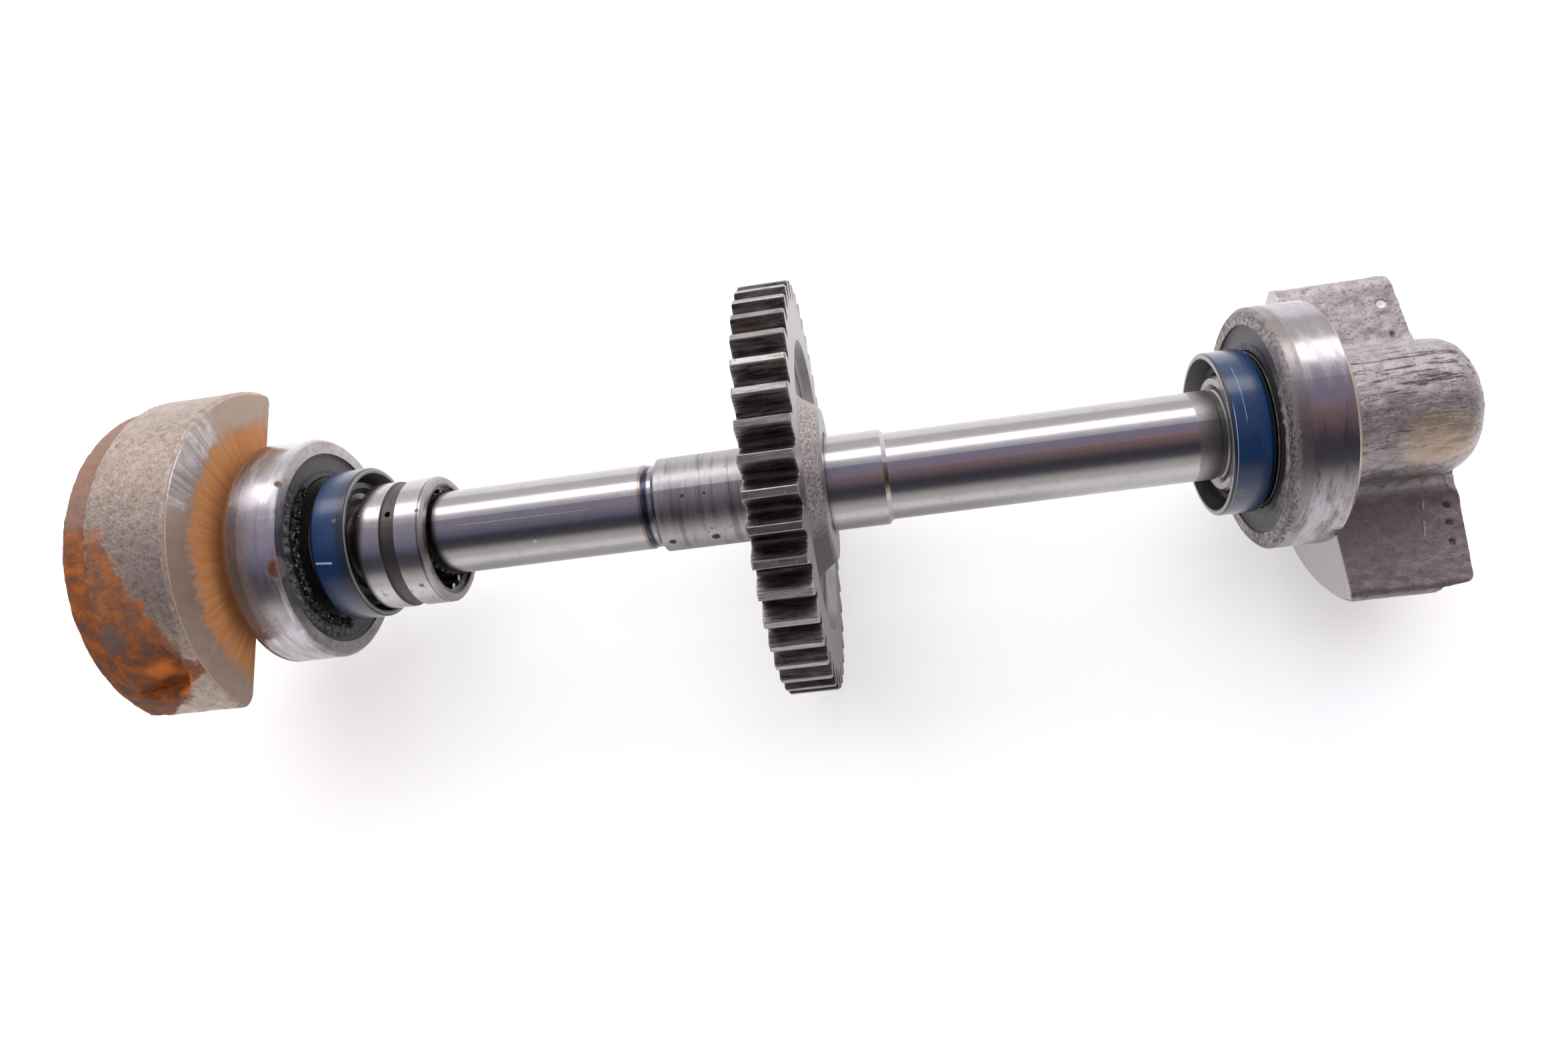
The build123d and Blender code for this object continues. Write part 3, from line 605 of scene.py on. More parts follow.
def seal_rubber(name, bore_side, back_side, shade_reach, lines=(), stains=(), nicks=(), cuts=()):
    """Blue rubber between two places along the shaft; shade_reach is the width of the rim on the bore
    side that is painted dark as shade.
    """
    p = Paint(name)
    streaks = p.turned_lines(0.35, wander=0.05)
    smear = p.noise(3.0, p.scaled(p.place, (1, 0.35, 0.35)), detail=5, rough=0.7)
    cloud = p.noise(5.0, detail=3)
    inward = (p.x - bore_side) * (1 if back_side > bore_side else -1)
    colour = p.mix(cloud, (0.003, 0.020, 0.068), (0.007, 0.040, 0.125))
    colour = p.mix(smear.rise(0.55, 0.75) * 0.25, colour, (0.030, 0.085, 0.200))
    # Painted shade: the rounded rim on the bore side is nearly black.
    rim = inward.rise(shade_reach, shade_reach * 0.3) * p.radius.rise(22.0, 22.6)
    colour = p.mix(rim * 0.85, colour, (0.011, 0.012, 0.017))
    lip = inward.rise(0.22, 0.08) * p.radius.band(23.3, 24.0, 0.15)
    colour = p.mix(lip * 0.7, colour, (0.42, 0.42, 0.42))
    cup = p.radius.rise(SEAL_INSIDE_RADIUS + 0.1, SEAL_INSIDE_RADIUS - 0.3)
    film = p.mix(smear, (0.030, 0.027, 0.027), (0.085, 0.076, 0.070))
    # A painted pale reflection on the top of the cup's inside.
    pale = p.angle.rise(-5, -50) * p.radius.rise(21.0, 22.0)
    colour = p.mix(cup, colour, p.mix(pale, film, (0.26, 0.25, 0.245)))

    scratched = p.all_of(ring_mark(p, *mark) for mark in lines)
    scratched = scratched + p.all_of(p.scratch(*mark) for mark in nicks)
    colour = p.mix(scratched.clamp() * 0.85, colour, (0.42, 0.55, 0.68))
    spots = p.spots(stains, (p.noise(0.6) - 0.5) * 0.6)
    colour = p.mix(spots.clamp() * 0.8, colour, (0.17, 0.10, 0.05))
    notches = p.all_of(p.scratch(*mark) for mark in cuts)
    colour = p.mix(notches.clamp() * 0.9, colour, (0.006, 0.007, 0.009))

    rough = 0.20 + streaks * 0.14 + smear.rise(0.5, 0.8) * 0.14 + cup * 0.30 + rim * 0.08
    rough = (rough + spots * 0.3 + scratched * 0.2).clamp()
    height = streaks * 0.6 + smear * 0.6 * (1 - cup) - scratched * 2.5 - notches * 6
    gloss = {"Coat Weight": 0.8, "Coat Roughness": 0.2, "Specular IOR Level": 0.3}
    return p.finish(colour, rough, 0.0, p.bump(height, 0.016), gloss)


wear("left_oil_seal", seal_rubber(
    "left seal rubber", -136.7, -148.5, 4.0,
    stains=[((-139.4, 0.7, 24.5), 0.9)],
    nicks=[((-146.9, -11.4, 21.8), (-141.0, -11.9, 21.5), 0.5)]))
wear("right_oil_seal", seal_rubber(
    "right seal rubber", 125.6, 137.4, 1.5,
    lines=[(126.7, (2, 78), 0.15, -0.004), (129.6, (-30, 12), 0.09, 0.004)],
    stains=[((127.8, -21.8, 11.2), 1.5)],
    cuts=[((127.2, -22.9, 9.5), (132.9, -23.3, 8.4), 0.8)]))
print("seals finished")

# %% [markdown]
# The bearings' shields are discs in dark, matt rubber. Dust and dried grease have caked near their inner
# edge, in a part of the ring, and next to the seal the disc is painted nearly black as shade. Loose
# crumbs of real mesh would be thousands of faces, so here the dirt is colour and bump by radius and
# angle, and only the thick grease further on is modelled.


# %% Shield rubber
def shield_rubber(name, dirt_radii, dirt_angles, dirt_dark, dirt_light):
    """Dark rubber on a disc, with dried dirt in part of a ring and painted shade next to the seal."""
    p = Paint(name)
    streaks = p.turned_lines(0.5, wander=0.2)
    dust = p.noise(2.0, detail=5, rough=0.7)
    rings = p.noise(0.8, p.combine(p.radius, 0.0, 0.0), detail=3)
    colour = p.mix(dust, (0.042, 0.039, 0.045), (0.105, 0.098, 0.108))
    caked = p.radius.rise(26.5, 23.0) * dust.rise(0.42, 0.62)
    colour = p.mix(caked * 0.4, colour, (0.05, 0.046, 0.042))
    # Painted shade: next to the seal the disc is nearly black.
    colour = p.mix(p.radius.rise(26.2, 25.4) * 0.85, colour, (0.010, 0.009, 0.009))
    flakes = p.noise(1.5, p.scaled(p.place, (1, 0.7, 0.7)), detail=5, rough=0.75)
    dirt = (p.radius + (flakes - 0.5) * 5).band(*dirt_radii, 0.6) * p.angle.band(*dirt_angles, 12)
    colour = p.mix(dirt * 0.85, colour, p.mix(flakes.rise(0.42, 0.62), dirt_dark, dirt_light))
    colour = p.mix(p.radius.rise(30.4, 31.0) * 0.5, colour, (0.012, 0.011, 0.011))
    rough = 0.36 + dust * 0.22 + caked * 0.2 + dirt * 0.2
    height = rings * 0.8 + streaks * 0.3 + dust + flakes * dirt
    return p.finish(colour, rough, 0.0, p.bump(height, 0.03))


LEFT_DIRT = ((26.0, 29.6), (-25, 120), (0.018, 0.017, 0.016), (0.27, 0.29, 0.26))
RIGHT_DIRT = ((25.6, 31.5), (-8, 78), (0.20, 0.185, 0.18), (0.52, 0.485, 0.47))
for side, dirt in (("left", LEFT_DIRT), ("right", RIGHT_DIRT)):
    shield = shield_rubber(f"{side} shield rubber", *dirt)
    for place in ("inboard", "outboard"):
        wear(f"{side}_bearing_{place}_shield", shield)
print("shields finished")

# %% [markdown]
# Geometry Nodes follow. Shape is a Tree for them: it opens with a group input, whose sizes have
# names, and closes with Realize Instances and Set Material. bake sets a modifier's inputs by the
# sockets' identifiers, keeps the finished mesh, and removes the modifier.


# %% Geometry node helpers
class Shape(Tree):
    """A geometry node tree with named inputs."""

    def __init__(self, name, **sizes):
        super().__init__(bpy.data.node_groups.new(name, "GeometryNodeTree"))
        face = self.tree.interface
        face.new_socket("Geometry", in_out="INPUT", socket_type="NodeSocketGeometry")
        face.new_socket("Geometry", in_out="OUTPUT", socket_type="NodeSocketGeometry")
        for key, value in sizes.items():
            kind = "NodeSocketInt" if isinstance(value, int) else "NodeSocketFloat"
            face.new_socket(key, in_out="INPUT", socket_type=kind).default_value = value
        self.entry = self.add("NodeGroupInput", output=None)
        self.geometry = Port(self, self.entry.outputs["Geometry"])

    def size(self, name):
        return Port(self, self.entry.outputs[name])

    def cast_skin(self, geometry):
        """Sink the surface by a lumpy pattern, where the attribute skin says it is as cast."""
        where = self.add("GeometryNodeInputPosition")
        broad = self.add("TexNoise", {}, {"Vector": where, "Scale": 1 / (7 * MM), "Detail": 2.0})
        grain = self.add("TexNoise", {}, {"Vector": where, "Scale": 1 / (2.2 * MM), "Detail": 3.0})
        skin = self.add("GeometryNodeInputNamedAttribute", {"data_type": "FLOAT"}, {"Name": "skin"})
        lumps = broad.rise(0.7, 0.3) * 0.6 + grain.rise(0.7, 0.3) * 0.4
        depth = lumps * skin * self.size("Skin depth")
        normal = self.add("GeometryNodeInputNormal")
        inputs = {0: normal, "Scale": depth * -1}
        offset = self.add("VectorMath", {"operation": "SCALE"}, inputs)
        return self.add("GeometryNodeSetPosition", {}, {"Geometry": geometry, "Offset": offset})

    def close(self, geometry, material):
        real = self.add("GeometryNodeRealizeInstances", {}, {"Geometry": geometry})
        done = self.add("GeometryNodeSetMaterial", {}, {"Geometry": real, "Material": material})
        self.add("NodeGroupOutput", {}, {"Geometry": done}, output=None)
        return self.tree


def bake(piece, tree=None, sizes=()):
    """Turn the piece and its modifiers into a plain mesh."""
    if tree is not None:
        modifier = piece.modifiers.new(tree.name, "NODES")
        modifier.node_group = tree
        identifiers = {item.name: item.identifier for item in tree.interface.items_tree
                       if item.in_out == "INPUT"}
        for key, value in dict(sizes).items():
            modifier[identifiers[key]] = value
    bpy.context.view_layer.update()
    view = bpy.context.evaluated_depsgraph_get()
    mesh = bpy.data.meshes.new_from_object(piece.evaluated_get(view))
    piece.modifiers.clear()
    piece.data = mesh
    return mesh


def new_piece(name, mesh):
    piece = bpy.data.objects.new(name, mesh)
    bpy.context.scene.collection.objects.link(piece)
    return piece


def smooth(mesh, degrees):
    """Smooth shading, with edges left crisp above an angle."""
    mesh.shade_smooth()
    mesh.set_sharp_from_angle(angle=math.radians(degrees))


def triangles(mesh):
    return sum(len(face.vertices) - 2 for face in mesh.polygons)


# %% [markdown]
# The gear's flanks are involutes, which keep two gears turning at a steady ratio. The gaps could
# be cut out of a disc, but that leaves ragged faces. The gear is 43 equal slices, so one slice is
# enough, and it is a loft: at each angle across the slice, a closed outline runs up one side of
# the gear, over the tooth and down the other side, and only the tooth's height changes with the
# angle. Geometry Nodes then repeat the slice round the shaft, join the seams, and roughen the
# hub's cone, which was never machined.

# %% Tooth outline
TEETH = 43
TIP_RADIUS = 63.5
TOOTH_TURN = 7.8                       # degrees from +Y to the middle of the first tooth
PRESSURE_ANGLE = math.radians(20)
MODULE = 2 * TIP_RADIUS / (TEETH + 2)
ROOT_RADIUS = TIP_RADIUS - 2.3 * MODULE
FLANK_START = ROOT_RADIUS + 0.3 * MODULE
BASE_RADIUS = MODULE * TEETH / 2 * math.cos(PRESSURE_ANGLE)
TIP_ROUND = 0.16


def half_tooth(radius):
    """Half the angle that a tooth takes up at this radius, in radians."""
    def involute(angle):
        return math.tan(angle) - angle
    lean = involute(math.acos(BASE_RADIUS / radius)) if radius > BASE_RADIUS else 0
    return math.pi / (2 * TEETH) + involute(PRESSURE_ANGLE) - lean


def tooth_outline():
    """Angle and radius of points over one tooth, from the middle of one gap to the next."""
    pitch = math.pi / TEETH
    foot = half_tooth(FLANK_START)
    fillet = (pitch - (pitch - foot) * 0.55, ROOT_RADIUS + 0.22)
    side = [(pitch, ROOT_RADIUS), fillet, (foot, FLANK_START)]
    for part in (0.2, 0.42, 0.64, 0.84):
        radius = FLANK_START + (TIP_RADIUS - FLANK_START) * part
        side.append((half_tooth(radius), radius))
    side.append((half_tooth(TIP_RADIUS - TIP_ROUND), TIP_RADIUS - TIP_ROUND))
    side.append((half_tooth(TIP_RADIUS) - TIP_ROUND / TIP_RADIUS, TIP_RADIUS - 0.01))
    return [(-a, r) for a, r in side] + [(a, r) for a, r in reversed(side)]


print("module", round(MODULE, 3), "mm, points over a tooth:", len(tooth_outline()))


# %% Gear side
GEAR_HALF_WIDTH = 7.5                  # places are from the middle of the gear's width
RIM_OUTER, RIM_INNER = 56.0, 45.4      # radii of the flat ring inside the teeth
WEB_FACE = 3.8
WEB_OUTER, WEB_INNER = 43.9, 29.0
WEB_ROUND, CONE_ROUND = 2.0, 5.0       # fillets at the web's two edges
CONE_END = (10.7, 24.3)                # place and radius
HUB_FACE = 11.5
HUB_RADIUS = 23.5
HUB_MIDDLE = 19.0                      # a point half-way over the hub's end
SEAT_RADIUS = 15.0
LONG_STEP = 1.3                        # longest step along the outline
ARC_STEPS = 5


def eased(points, rounds):
    """A line through points, with some corners turned into arcs of the given radii."""
    result = []
    for i, point in enumerate(points):
        if i not in rounds:
            result.append(point)
            continue
        here, before, after = Vector(point), Vector(points[i - 1]), Vector(points[i + 1])
        back, on = (before - here).normalized(), (after - here).normalized()
        half = back.angle(on) / 2
        reach = rounds[i] / math.tan(half)
        middle = here + (back + on).normalized() * (rounds[i] / math.sin(half))
        first, last = here + back * reach - middle, here + on * reach - middle
        for step in range(ARC_STEPS + 1):
            way = first.lerp(last, step / ARC_STEPS).normalized() * rounds[i]
            result.append(tuple(middle + way))
    return result


def finer(points, longest):
    """The same line, with no step longer than longest."""
    result = [points[0]]
    for a, b in zip(points, points[1:]):
        count = max(1, math.ceil(math.dist(a, b) / longest))
        result += [(a[0] + (b[0] - a[0]) * k / count, a[1] + (b[1] - a[1]) * k / count)
                   for k in range(1, count + 1)]
    return result


def gear_side(sign, hub_face):
    """Place along the shaft and radius, from the rim's face in to the bore, on one side."""
    long_hub = hub_face > CONE_END[0]
    if long_hub:
        top = [CONE_END, (hub_face, HUB_RADIUS)]
    else:
        slope = (WEB_INNER - CONE_END[1]) / (CONE_END[0] - WEB_FACE)
        top = [(hub_face, WEB_INNER - slope * (hub_face - WEB_FACE))]
    line = [(GEAR_HALF_WIDTH, RIM_OUTER), (GEAR_HALF_WIDTH, RIM_INNER)]
    line += [(WEB_FACE, WEB_OUTER), (WEB_FACE, WEB_INNER)] + top
    line = finer(eased(line, {2: WEB_ROUND, 3: CONE_ROUND}), LONG_STEP)
    chamfer = 1.4 if long_hub else 0.01
    line += [(hub_face, HUB_MIDDLE), (hub_face, SEAT_RADIUS + chamfer), (hub_face - chamfer, SEAT_RADIUS)]
    return [(sign * x, r) for x, r in line]


inner_outline = gear_side(1, HUB_FACE) + [(0.0, SEAT_RADIUS)] + gear_side(-1, GEAR_HALF_WIDTH)[::-1]
print("points over the gear's inner part:", len(inner_outline))


# %% Gear slice
END_CHAMFER = 0.5                      # at the ends of the teeth


def crown(tip):
    """The outline over the teeth, from one face to the other, where they reach the radius tip."""
    width = GEAR_HALF_WIDTH
    capped = min(tip, TIP_RADIUS - END_CHAMFER)
    return [(-width, capped), (-width + END_CHAMFER, tip), (-width / 3, tip), (width / 3, tip),
            (width - END_CHAMFER, tip), (width, capped)]


def cast_share(place, radius):
    """How much of the cast skin the gear has at a point of its outline."""
    if 24.5 < radius < 32 and abs(place) > 3.7:
        return 1.0
    return 0.35 if 32 <= radius < 43 else 0.0


def gear_slice():
    rows, skins = [], []
    for angle, radius in tooth_outline():
        turn = angle + math.radians(TOOTH_TURN)
        outer = crown(radius)
        rows.append([(x * MM, r * math.cos(turn) * MM, r * math.sin(turn) * MM)
                     for x, r in outer + inner_outline])
        skins += [0.0] * len(outer) + [cast_share(x, r) for x, r in inner_outline]
    across = len(rows[0])
    points = [point for row in rows for point in row]
    faces = []
    for j in range(len(rows) - 1):
        for i in range(across):
            k = (i + 1) % across
            faces.append((j * across + i, j * across + k, (j + 1) * across + k, (j + 1) * across + i))
    mesh = bpy.data.meshes.new("drive_gear_slice")
    mesh.from_pydata(points, [], faces)
    mesh.attributes.new("skin", "FLOAT", "POINT").data.foreach_set("value", skins)
    return mesh


# %% [markdown]
# Gear steel: the flanks are dark with oil and soot, the tips and the rim's faces are worn bright, and the
# hub's cone is a rough grey that sparkles, with painted shade on its side towards the viewer. Each could
# be a material of its own, but wear fades from one into the next, so one material tells them apart by the
# radius and by the distance from the middle of the gear's width.


# %% Gear steel
def gear_steel():
    p = Paint("gear steel")
    grain = p.noise(0.35, detail=4)
    soot = p.noise(1.3, p.scaled(p.place, (0.16, 1, 1)), detail=5, rough=0.72)
    cloud = p.noise(7.0)
    turned = p.noise(0.5, p.combine(p.radius, 0.0, 0.0), detail=3)
    from_middle = p.x.maths("ABSOLUTE")
    colour = p.mix(cloud, (0.225, 0.219, 0.219), (0.325, 0.315, 0.315))
    web = p.radius.band(30.5, 43.2, 0.5) * from_middle.rise(5.5, 4.6)
    colour = p.mix(web * 0.85, colour, p.mix(cloud, (0.12, 0.115, 0.122), (0.19, 0.183, 0.19)))

    flank = p.radius.rise(56.6, 57.2) * from_middle.rise(7.49, 7.3)
    brown = p.noise(9.0, detail=3).rise(0.46, 0.60)
    oiled = p.mix(soot.rise(0.35, 0.65), (0.032, 0.028, 0.027), (0.30, 0.275, 0.26))
    oiled = p.mix(brown * 0.45, oiled, p.mix(soot, (0.05, 0.030, 0.023), (0.24, 0.165, 0.13)))
    colour = p.mix(flank * 0.92, colour, oiled)
    specks = flank * p.noise(0.8, detail=4, rough=0.7).rise(0.62, 0.70)
    colour = p.mix(specks * 0.5, colour, (0.36, 0.33, 0.31))
    worn_edge = flank * from_middle.rise(6.7, 7.25) * soot.rise(0.35, 0.6)
    colour = p.mix(worn_edge * 0.5, colour, (0.46, 0.44, 0.43))
    tip = p.radius.rise(TIP_RADIUS - 0.55, TIP_RADIUS - 0.12)
    tip_colour = p.mix(soot.rise(0.4, 0.7), (0.42, 0.40, 0.395), (0.20, 0.185, 0.175))
    colour = p.mix(tip * 0.9, colour, tip_colour)

    cone = p.radius.band(24.3, 31.0, 0.6) * from_middle.rise(3.9, 4.6)
    speckle = p.noise(0.7, detail=6, rough=0.85)
    cast = p.mix(speckle.rise(0.34, 0.66), (0.10, 0.086, 0.080), (0.72, 0.65, 0.62))
    # Painted shade: the cone darkens from 30 degrees round from the top towards the viewer, fully so past
    # 58.
    cast = p.mix(p.angle.rise(30, 58) * 0.9, cast, (0.09, 0.080, 0.074))
    colour = p.mix(cone * 0.9, colour, cast)
    colour = p.mix(p.x.rise(HUB_FACE - 0.3, HUB_FACE - 0.1) * 0.5, colour, (0.46, 0.445, 0.44))
    chamfer = p.radius.rise(16.6, 16.2) * p.x.rise(9.8, 10.0)
    colour = p.mix(chamfer * 0.85, colour, (0.03, 0.03, 0.034))
    rough = 0.28 + turned * 0.12 + flank * 0.06 + cone * (grain * 0.25 - 0.03) - tip * 0.06
    height = turned * 0.5 + cone * speckle * 8 + flank * (soot * 3.0 + grain) + specks * 2
    return p.finish(colour, rough, 1.0, p.bump(height, 0.018))


# %% Gear put together
gear_tree = Shape("repeat a slice round the shaft", **{"Count": 8, "Skin depth": 0.0})
index = gear_tree.add("GeometryNodeInputIndex")
turn = index * (2 * math.pi) / gear_tree.size("Count")
points = gear_tree.add("GeometryNodePoints", {}, {"Count": gear_tree.size("Count"), "Radius": 0.0})
spin = gear_tree.combine(turn, 0.0, 0.0)
inputs = {"Points": points, "Instance": gear_tree.geometry, "Rotation": spin}
slices = gear_tree.add("GeometryNodeInstanceOnPoints", {}, inputs)
ring = gear_tree.add("GeometryNodeRealizeInstances", {}, {0: slices})
ring = gear_tree.add("GeometryNodeMergeByDistance", {}, {"Geometry": ring, "Distance": 0.01 * MM})
gear_tree.close(gear_tree.cast_skin(ring), gear_steel())

gear = new_piece("toothed_gear", gear_slice())
mesh = bake(gear, gear_tree.tree, {"Count": TEETH, "Skin depth": 0.22 * MM})
smooth(mesh, 32)
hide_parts("drive_gear")
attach(gear, "shaft")
print("gear:", triangles(mesh), "triangles")

# %% [markdown]
# The counterweights are sand castings, turned only where a bearing sits and on the face beside it.
# The solid has the right form but is too clean. It could be sculpted, but a pattern does the same
# each time: a copy gets even small faces from a sharp Remesh, which keeps turned edges crisp, and
# Geometry Nodes sink the cast skin by lumpy noise. An attribute named skin keeps the turned
# surfaces true.


# %% Copy of a solid
def solid_copy(node, name, cut=None, keep=1):
    """A copy of a solid whose loose triangles are joined; cut is a place along the shaft in
    metres, and only the side towards keep is left, closed again."""
    work = bmesh.new()
    work.from_mesh(nodes[node].data)
    bmesh.ops.remove_doubles(work, verts=work.verts, dist=1e-6)
    if cut is not None:
        everything = work.verts[:] + work.edges[:] + work.faces[:]
        found = bmesh.ops.bisect_plane(work, geom=everything, dist=1e-7, plane_co=(cut, 0, 0),
                                       plane_no=(-keep, 0, 0), clear_outer=True)
        rims = [part for part in found["geom_cut"] if isinstance(part, bmesh.types.BMEdge)]
        bmesh.ops.triangle_fill(work, use_beauty=True, edges=rims)
    bmesh.ops.recalc_face_normals(work, faces=work.faces)
    mesh = bpy.data.meshes.new(name)
    work.to_mesh(mesh)
    work.free()
    return new_piece(name, mesh)


# %% Even faces and cast skin
LEFT_FACE = -172.6                     # turned face beside each bearing
RIGHT_FACE = 159.3
RIM_WIDTH = 24.5
WEIGHT_RADIUS = 54.5
FLAT_DEPTH = 10.7                      # from the shaft's axis to each weight's flat
STRAY = 0.12                           # a corner further than this from the solid is put back


def kept(value):
    """value, kept between 0 and 1."""
    return min(1.0, max(0.0, value))


def eased_step(value):
    value = kept(value)
    return value * value * (3 - 2 * value)


def even_faces(piece):
    """Small even faces. A corner that the remesh throws off the solid is put back on it."""
    solid = BVHTree.FromObject(piece, bpy.context.evaluated_depsgraph_get())
    remesh = piece.modifiers.new("even faces", "REMESH")
    remesh.mode = "SHARP"
    remesh.octree_depth = 7
    remesh.scale = 0.95
    remesh.use_remove_disconnected = False
    mesh = bake(piece)
    moved = 0
    for vertex in mesh.vertices:
        place, _, _, gap = solid.find_nearest(vertex.co)
        if gap > STRAY * MM:
            vertex.co = place
            moved += 1
    print(piece.name, "corners put back:", moved)
    return mesh


def mark_skin(mesh, face, outboard):
    """1 on the cast skin, 0 on turned surfaces; outboard is the side that the casting is on."""
    skins = []
    for vertex in mesh.vertices:
        x, y, z = (value / MM for value in vertex.co)
        behind = (x - face) * outboard
        rim = math.hypot(y, z) > WEIGHT_RADIUS - 0.3 and behind < RIM_WIDTH
        skins.append(kept((behind - 0.5) / 2.0) * (0.45 if rim else 1.0))
    mesh.attributes.new("skin", "FLOAT", "POINT").data.foreach_set("value", skins)


# %% [markdown]
# Fillets join the boss to the flat, and they thin out to nothing at the casting's end. A real one
# is sloped back there, because a thin edge breaks off. Corners past a limit are pulled back to it,
# and the limit follows the boss's rounded end, then a slope, and meets the flat again.

# %% Fillet ends
BOSS_RADIUS = 20.2
BOSS_ROUND = 9.0                       # radius of the round at the boss's end
BOSS_END = 37.9                        # from the turned face
FLAT_END = 37.4
SLOPE_START = 29.5
SLOPE = 0.8


def trim_webs(mesh, face, outboard):
    """Slope back the thin ends of the fillets between the boss and the flat."""
    round_middle = BOSS_RADIUS - BOSS_ROUND
    for vertex in mesh.vertices:
        x, y, z = vertex.co / MM
        side, radius, height = abs(y), math.hypot(y, z), z * outboard + FLAT_DEPTH
        if height < 0.05 or not 12 < side < 27.5 or radius < 17:
            continue
        from_middle = min(radius, BOSS_RADIUS) - round_middle
        dome = BOSS_END - BOSS_ROUND + math.sqrt(max(0.0, BOSS_ROUND ** 2 - from_middle ** 2))
        limit = max(dome, SLOPE_START + (side - 18) * SLOPE)
        limit += (FLAT_END - limit) * kept(1 - height / 2.5) ** 2 * kept((side - 17) / 2)
        if (x - face) * outboard > limit:
            vertex.co.x = (face + outboard * limit) * MM


# %% [markdown]
# The left weight was balanced by drilling a shallow pocket in its rim. It slopes down from the
# rim and ends in a steep wall beside the turned face. The remesh would blur that wall, so the
# pocket is closed before it and pressed in again after it, straight along the drill's axis.

# %% Balance pocket
POCKET_PLACE = LEFT_FACE - 17.0        # along the shaft
POCKET_TURN = math.radians(50.1)       # from the top towards -Y
POCKET_REACH = 11.8
POCKET_DEPTH = 5.0
POCKET_SLOPE = (0.75, 0.66)            # steepness along the shaft and round it
RIM_DROP = 1.3                         # the rim is this much lower behind its edge


def pocket_spot(vertex):
    """Offsets from the drilled pocket's axis, the height along it, and the rim's height there."""
    x, y, z = vertex.co / MM
    rim = WEIGHT_RADIUS - RIM_DROP * kept((LEFT_FACE - x - RIM_WIDTH) / 1.6)
    around = -y * math.cos(POCKET_TURN) - z * math.sin(POCKET_TURN)
    height = -y * math.sin(POCKET_TURN) + z * math.cos(POCKET_TURN)
    return x - POCKET_PLACE, around, height, math.sqrt(max(0.0, rim * rim - around * around))


def raise_along_pocket(vertex, distance):
    vertex.co.y -= math.sin(POCKET_TURN) * distance * MM
    vertex.co.z += math.cos(POCKET_TURN) * distance * MM


def lift_pocket(mesh):
    """Close the drilled pocket, so that the remesh sees an unbroken rim."""
    for vertex in mesh.vertices:
        along, around, height, rim = pocket_spot(vertex)
        if math.hypot(along, around) < POCKET_REACH and rim - 8 < height < rim:
            raise_along_pocket(vertex, rim - height)
    mesh.update()


def press_pocket(mesh):
    """Sink the pocket again: sloping down towards the turned face, with a steep wall there."""
    for vertex in mesh.vertices:
        along, around, height, rim = pocket_spot(vertex)
        out = math.hypot(along, around) / POCKET_REACH
        if out > 1.05 or abs(height - rim) > 2.0:
            continue
        slope = eased_step((along * POCKET_SLOPE[0] + around * POCKET_SLOPE[1]) / POCKET_REACH + 0.25)
        wall = eased_step((1 - out) / 0.07)
        raise_along_pocket(vertex, rim - height - POCKET_DEPTH * slope * wall)


# %% [markdown]
# One material serves both castings and their turned journals, because the same iron shows in all
# of them. The left casting is warm and mottled, with orange rust round its pocket and rays of rust
# on its turned face. The right one is cool and dented, with a skin like leather. The patterns and
# masks that several layers share come first. Each layer is then one function. It gives back the
# colour with its layer on, and its mask too where the roughness or the height needs it.

# %% Cast iron
CASTING_DIVIDE = -100                  # any place between the two castings


class CastIron(Paint):
    """The castings' material, with the patterns and masks that its layers share."""

    def __init__(self):
        super().__init__("cast iron")
        self.left = self.x.rise(CASTING_DIVIDE + 1, CASTING_DIVIDE - 1)
        self.right = 1 - self.left
        self.behind = self.left * (LEFT_FACE - self.x) + self.right * (self.x - RIGHT_FACE)
        self.stipple = self.noise(1.25, detail=5, rough=0.75)
        self.leather = self.cells(3.4)
        self.blotch = self.noise(3.6, detail=5, rough=0.66)
        self.warp = self.noise(5.0, detail=4, rough=0.6) - 0.5
        self.streaks = self.radial_lines(42)
        self.face = self.behind.rise(0.45, 0.2)
        self.turned = self.face * self.radius.rise(17.0, 17.6)
        self.journal = self.behind.rise(0.1, -0.3)

    def cells(self, size):
        """Distance from the nearest of many scattered points: low inside a cell, high at its edge."""
        inputs = {"Vector": self.place, "Scale": 1 / size, "Smoothness": 0.6}
        return self.add("TexVoronoi", {"feature": "SMOOTH_F1"}, inputs)

    def radial_lines(self, count):
        """Lines that fan out from the shaft, on a face across it, and change slowly along it."""
        across = self.combine(0.0, self.y, self.z)
        outward = self.add("VectorMath", {"operation": "NORMALIZE"}, {0: across})
        fan = self.scaled(outward, (count, count, count))
        drift = self.scaled(self.place, (0.02, 0.02, 0.02))
        total = self.add("VectorMath", {"operation": "ADD"}, {0: fan, 1: drift})
        return self.noise(1.0, total, detail=4, rough=0.65)


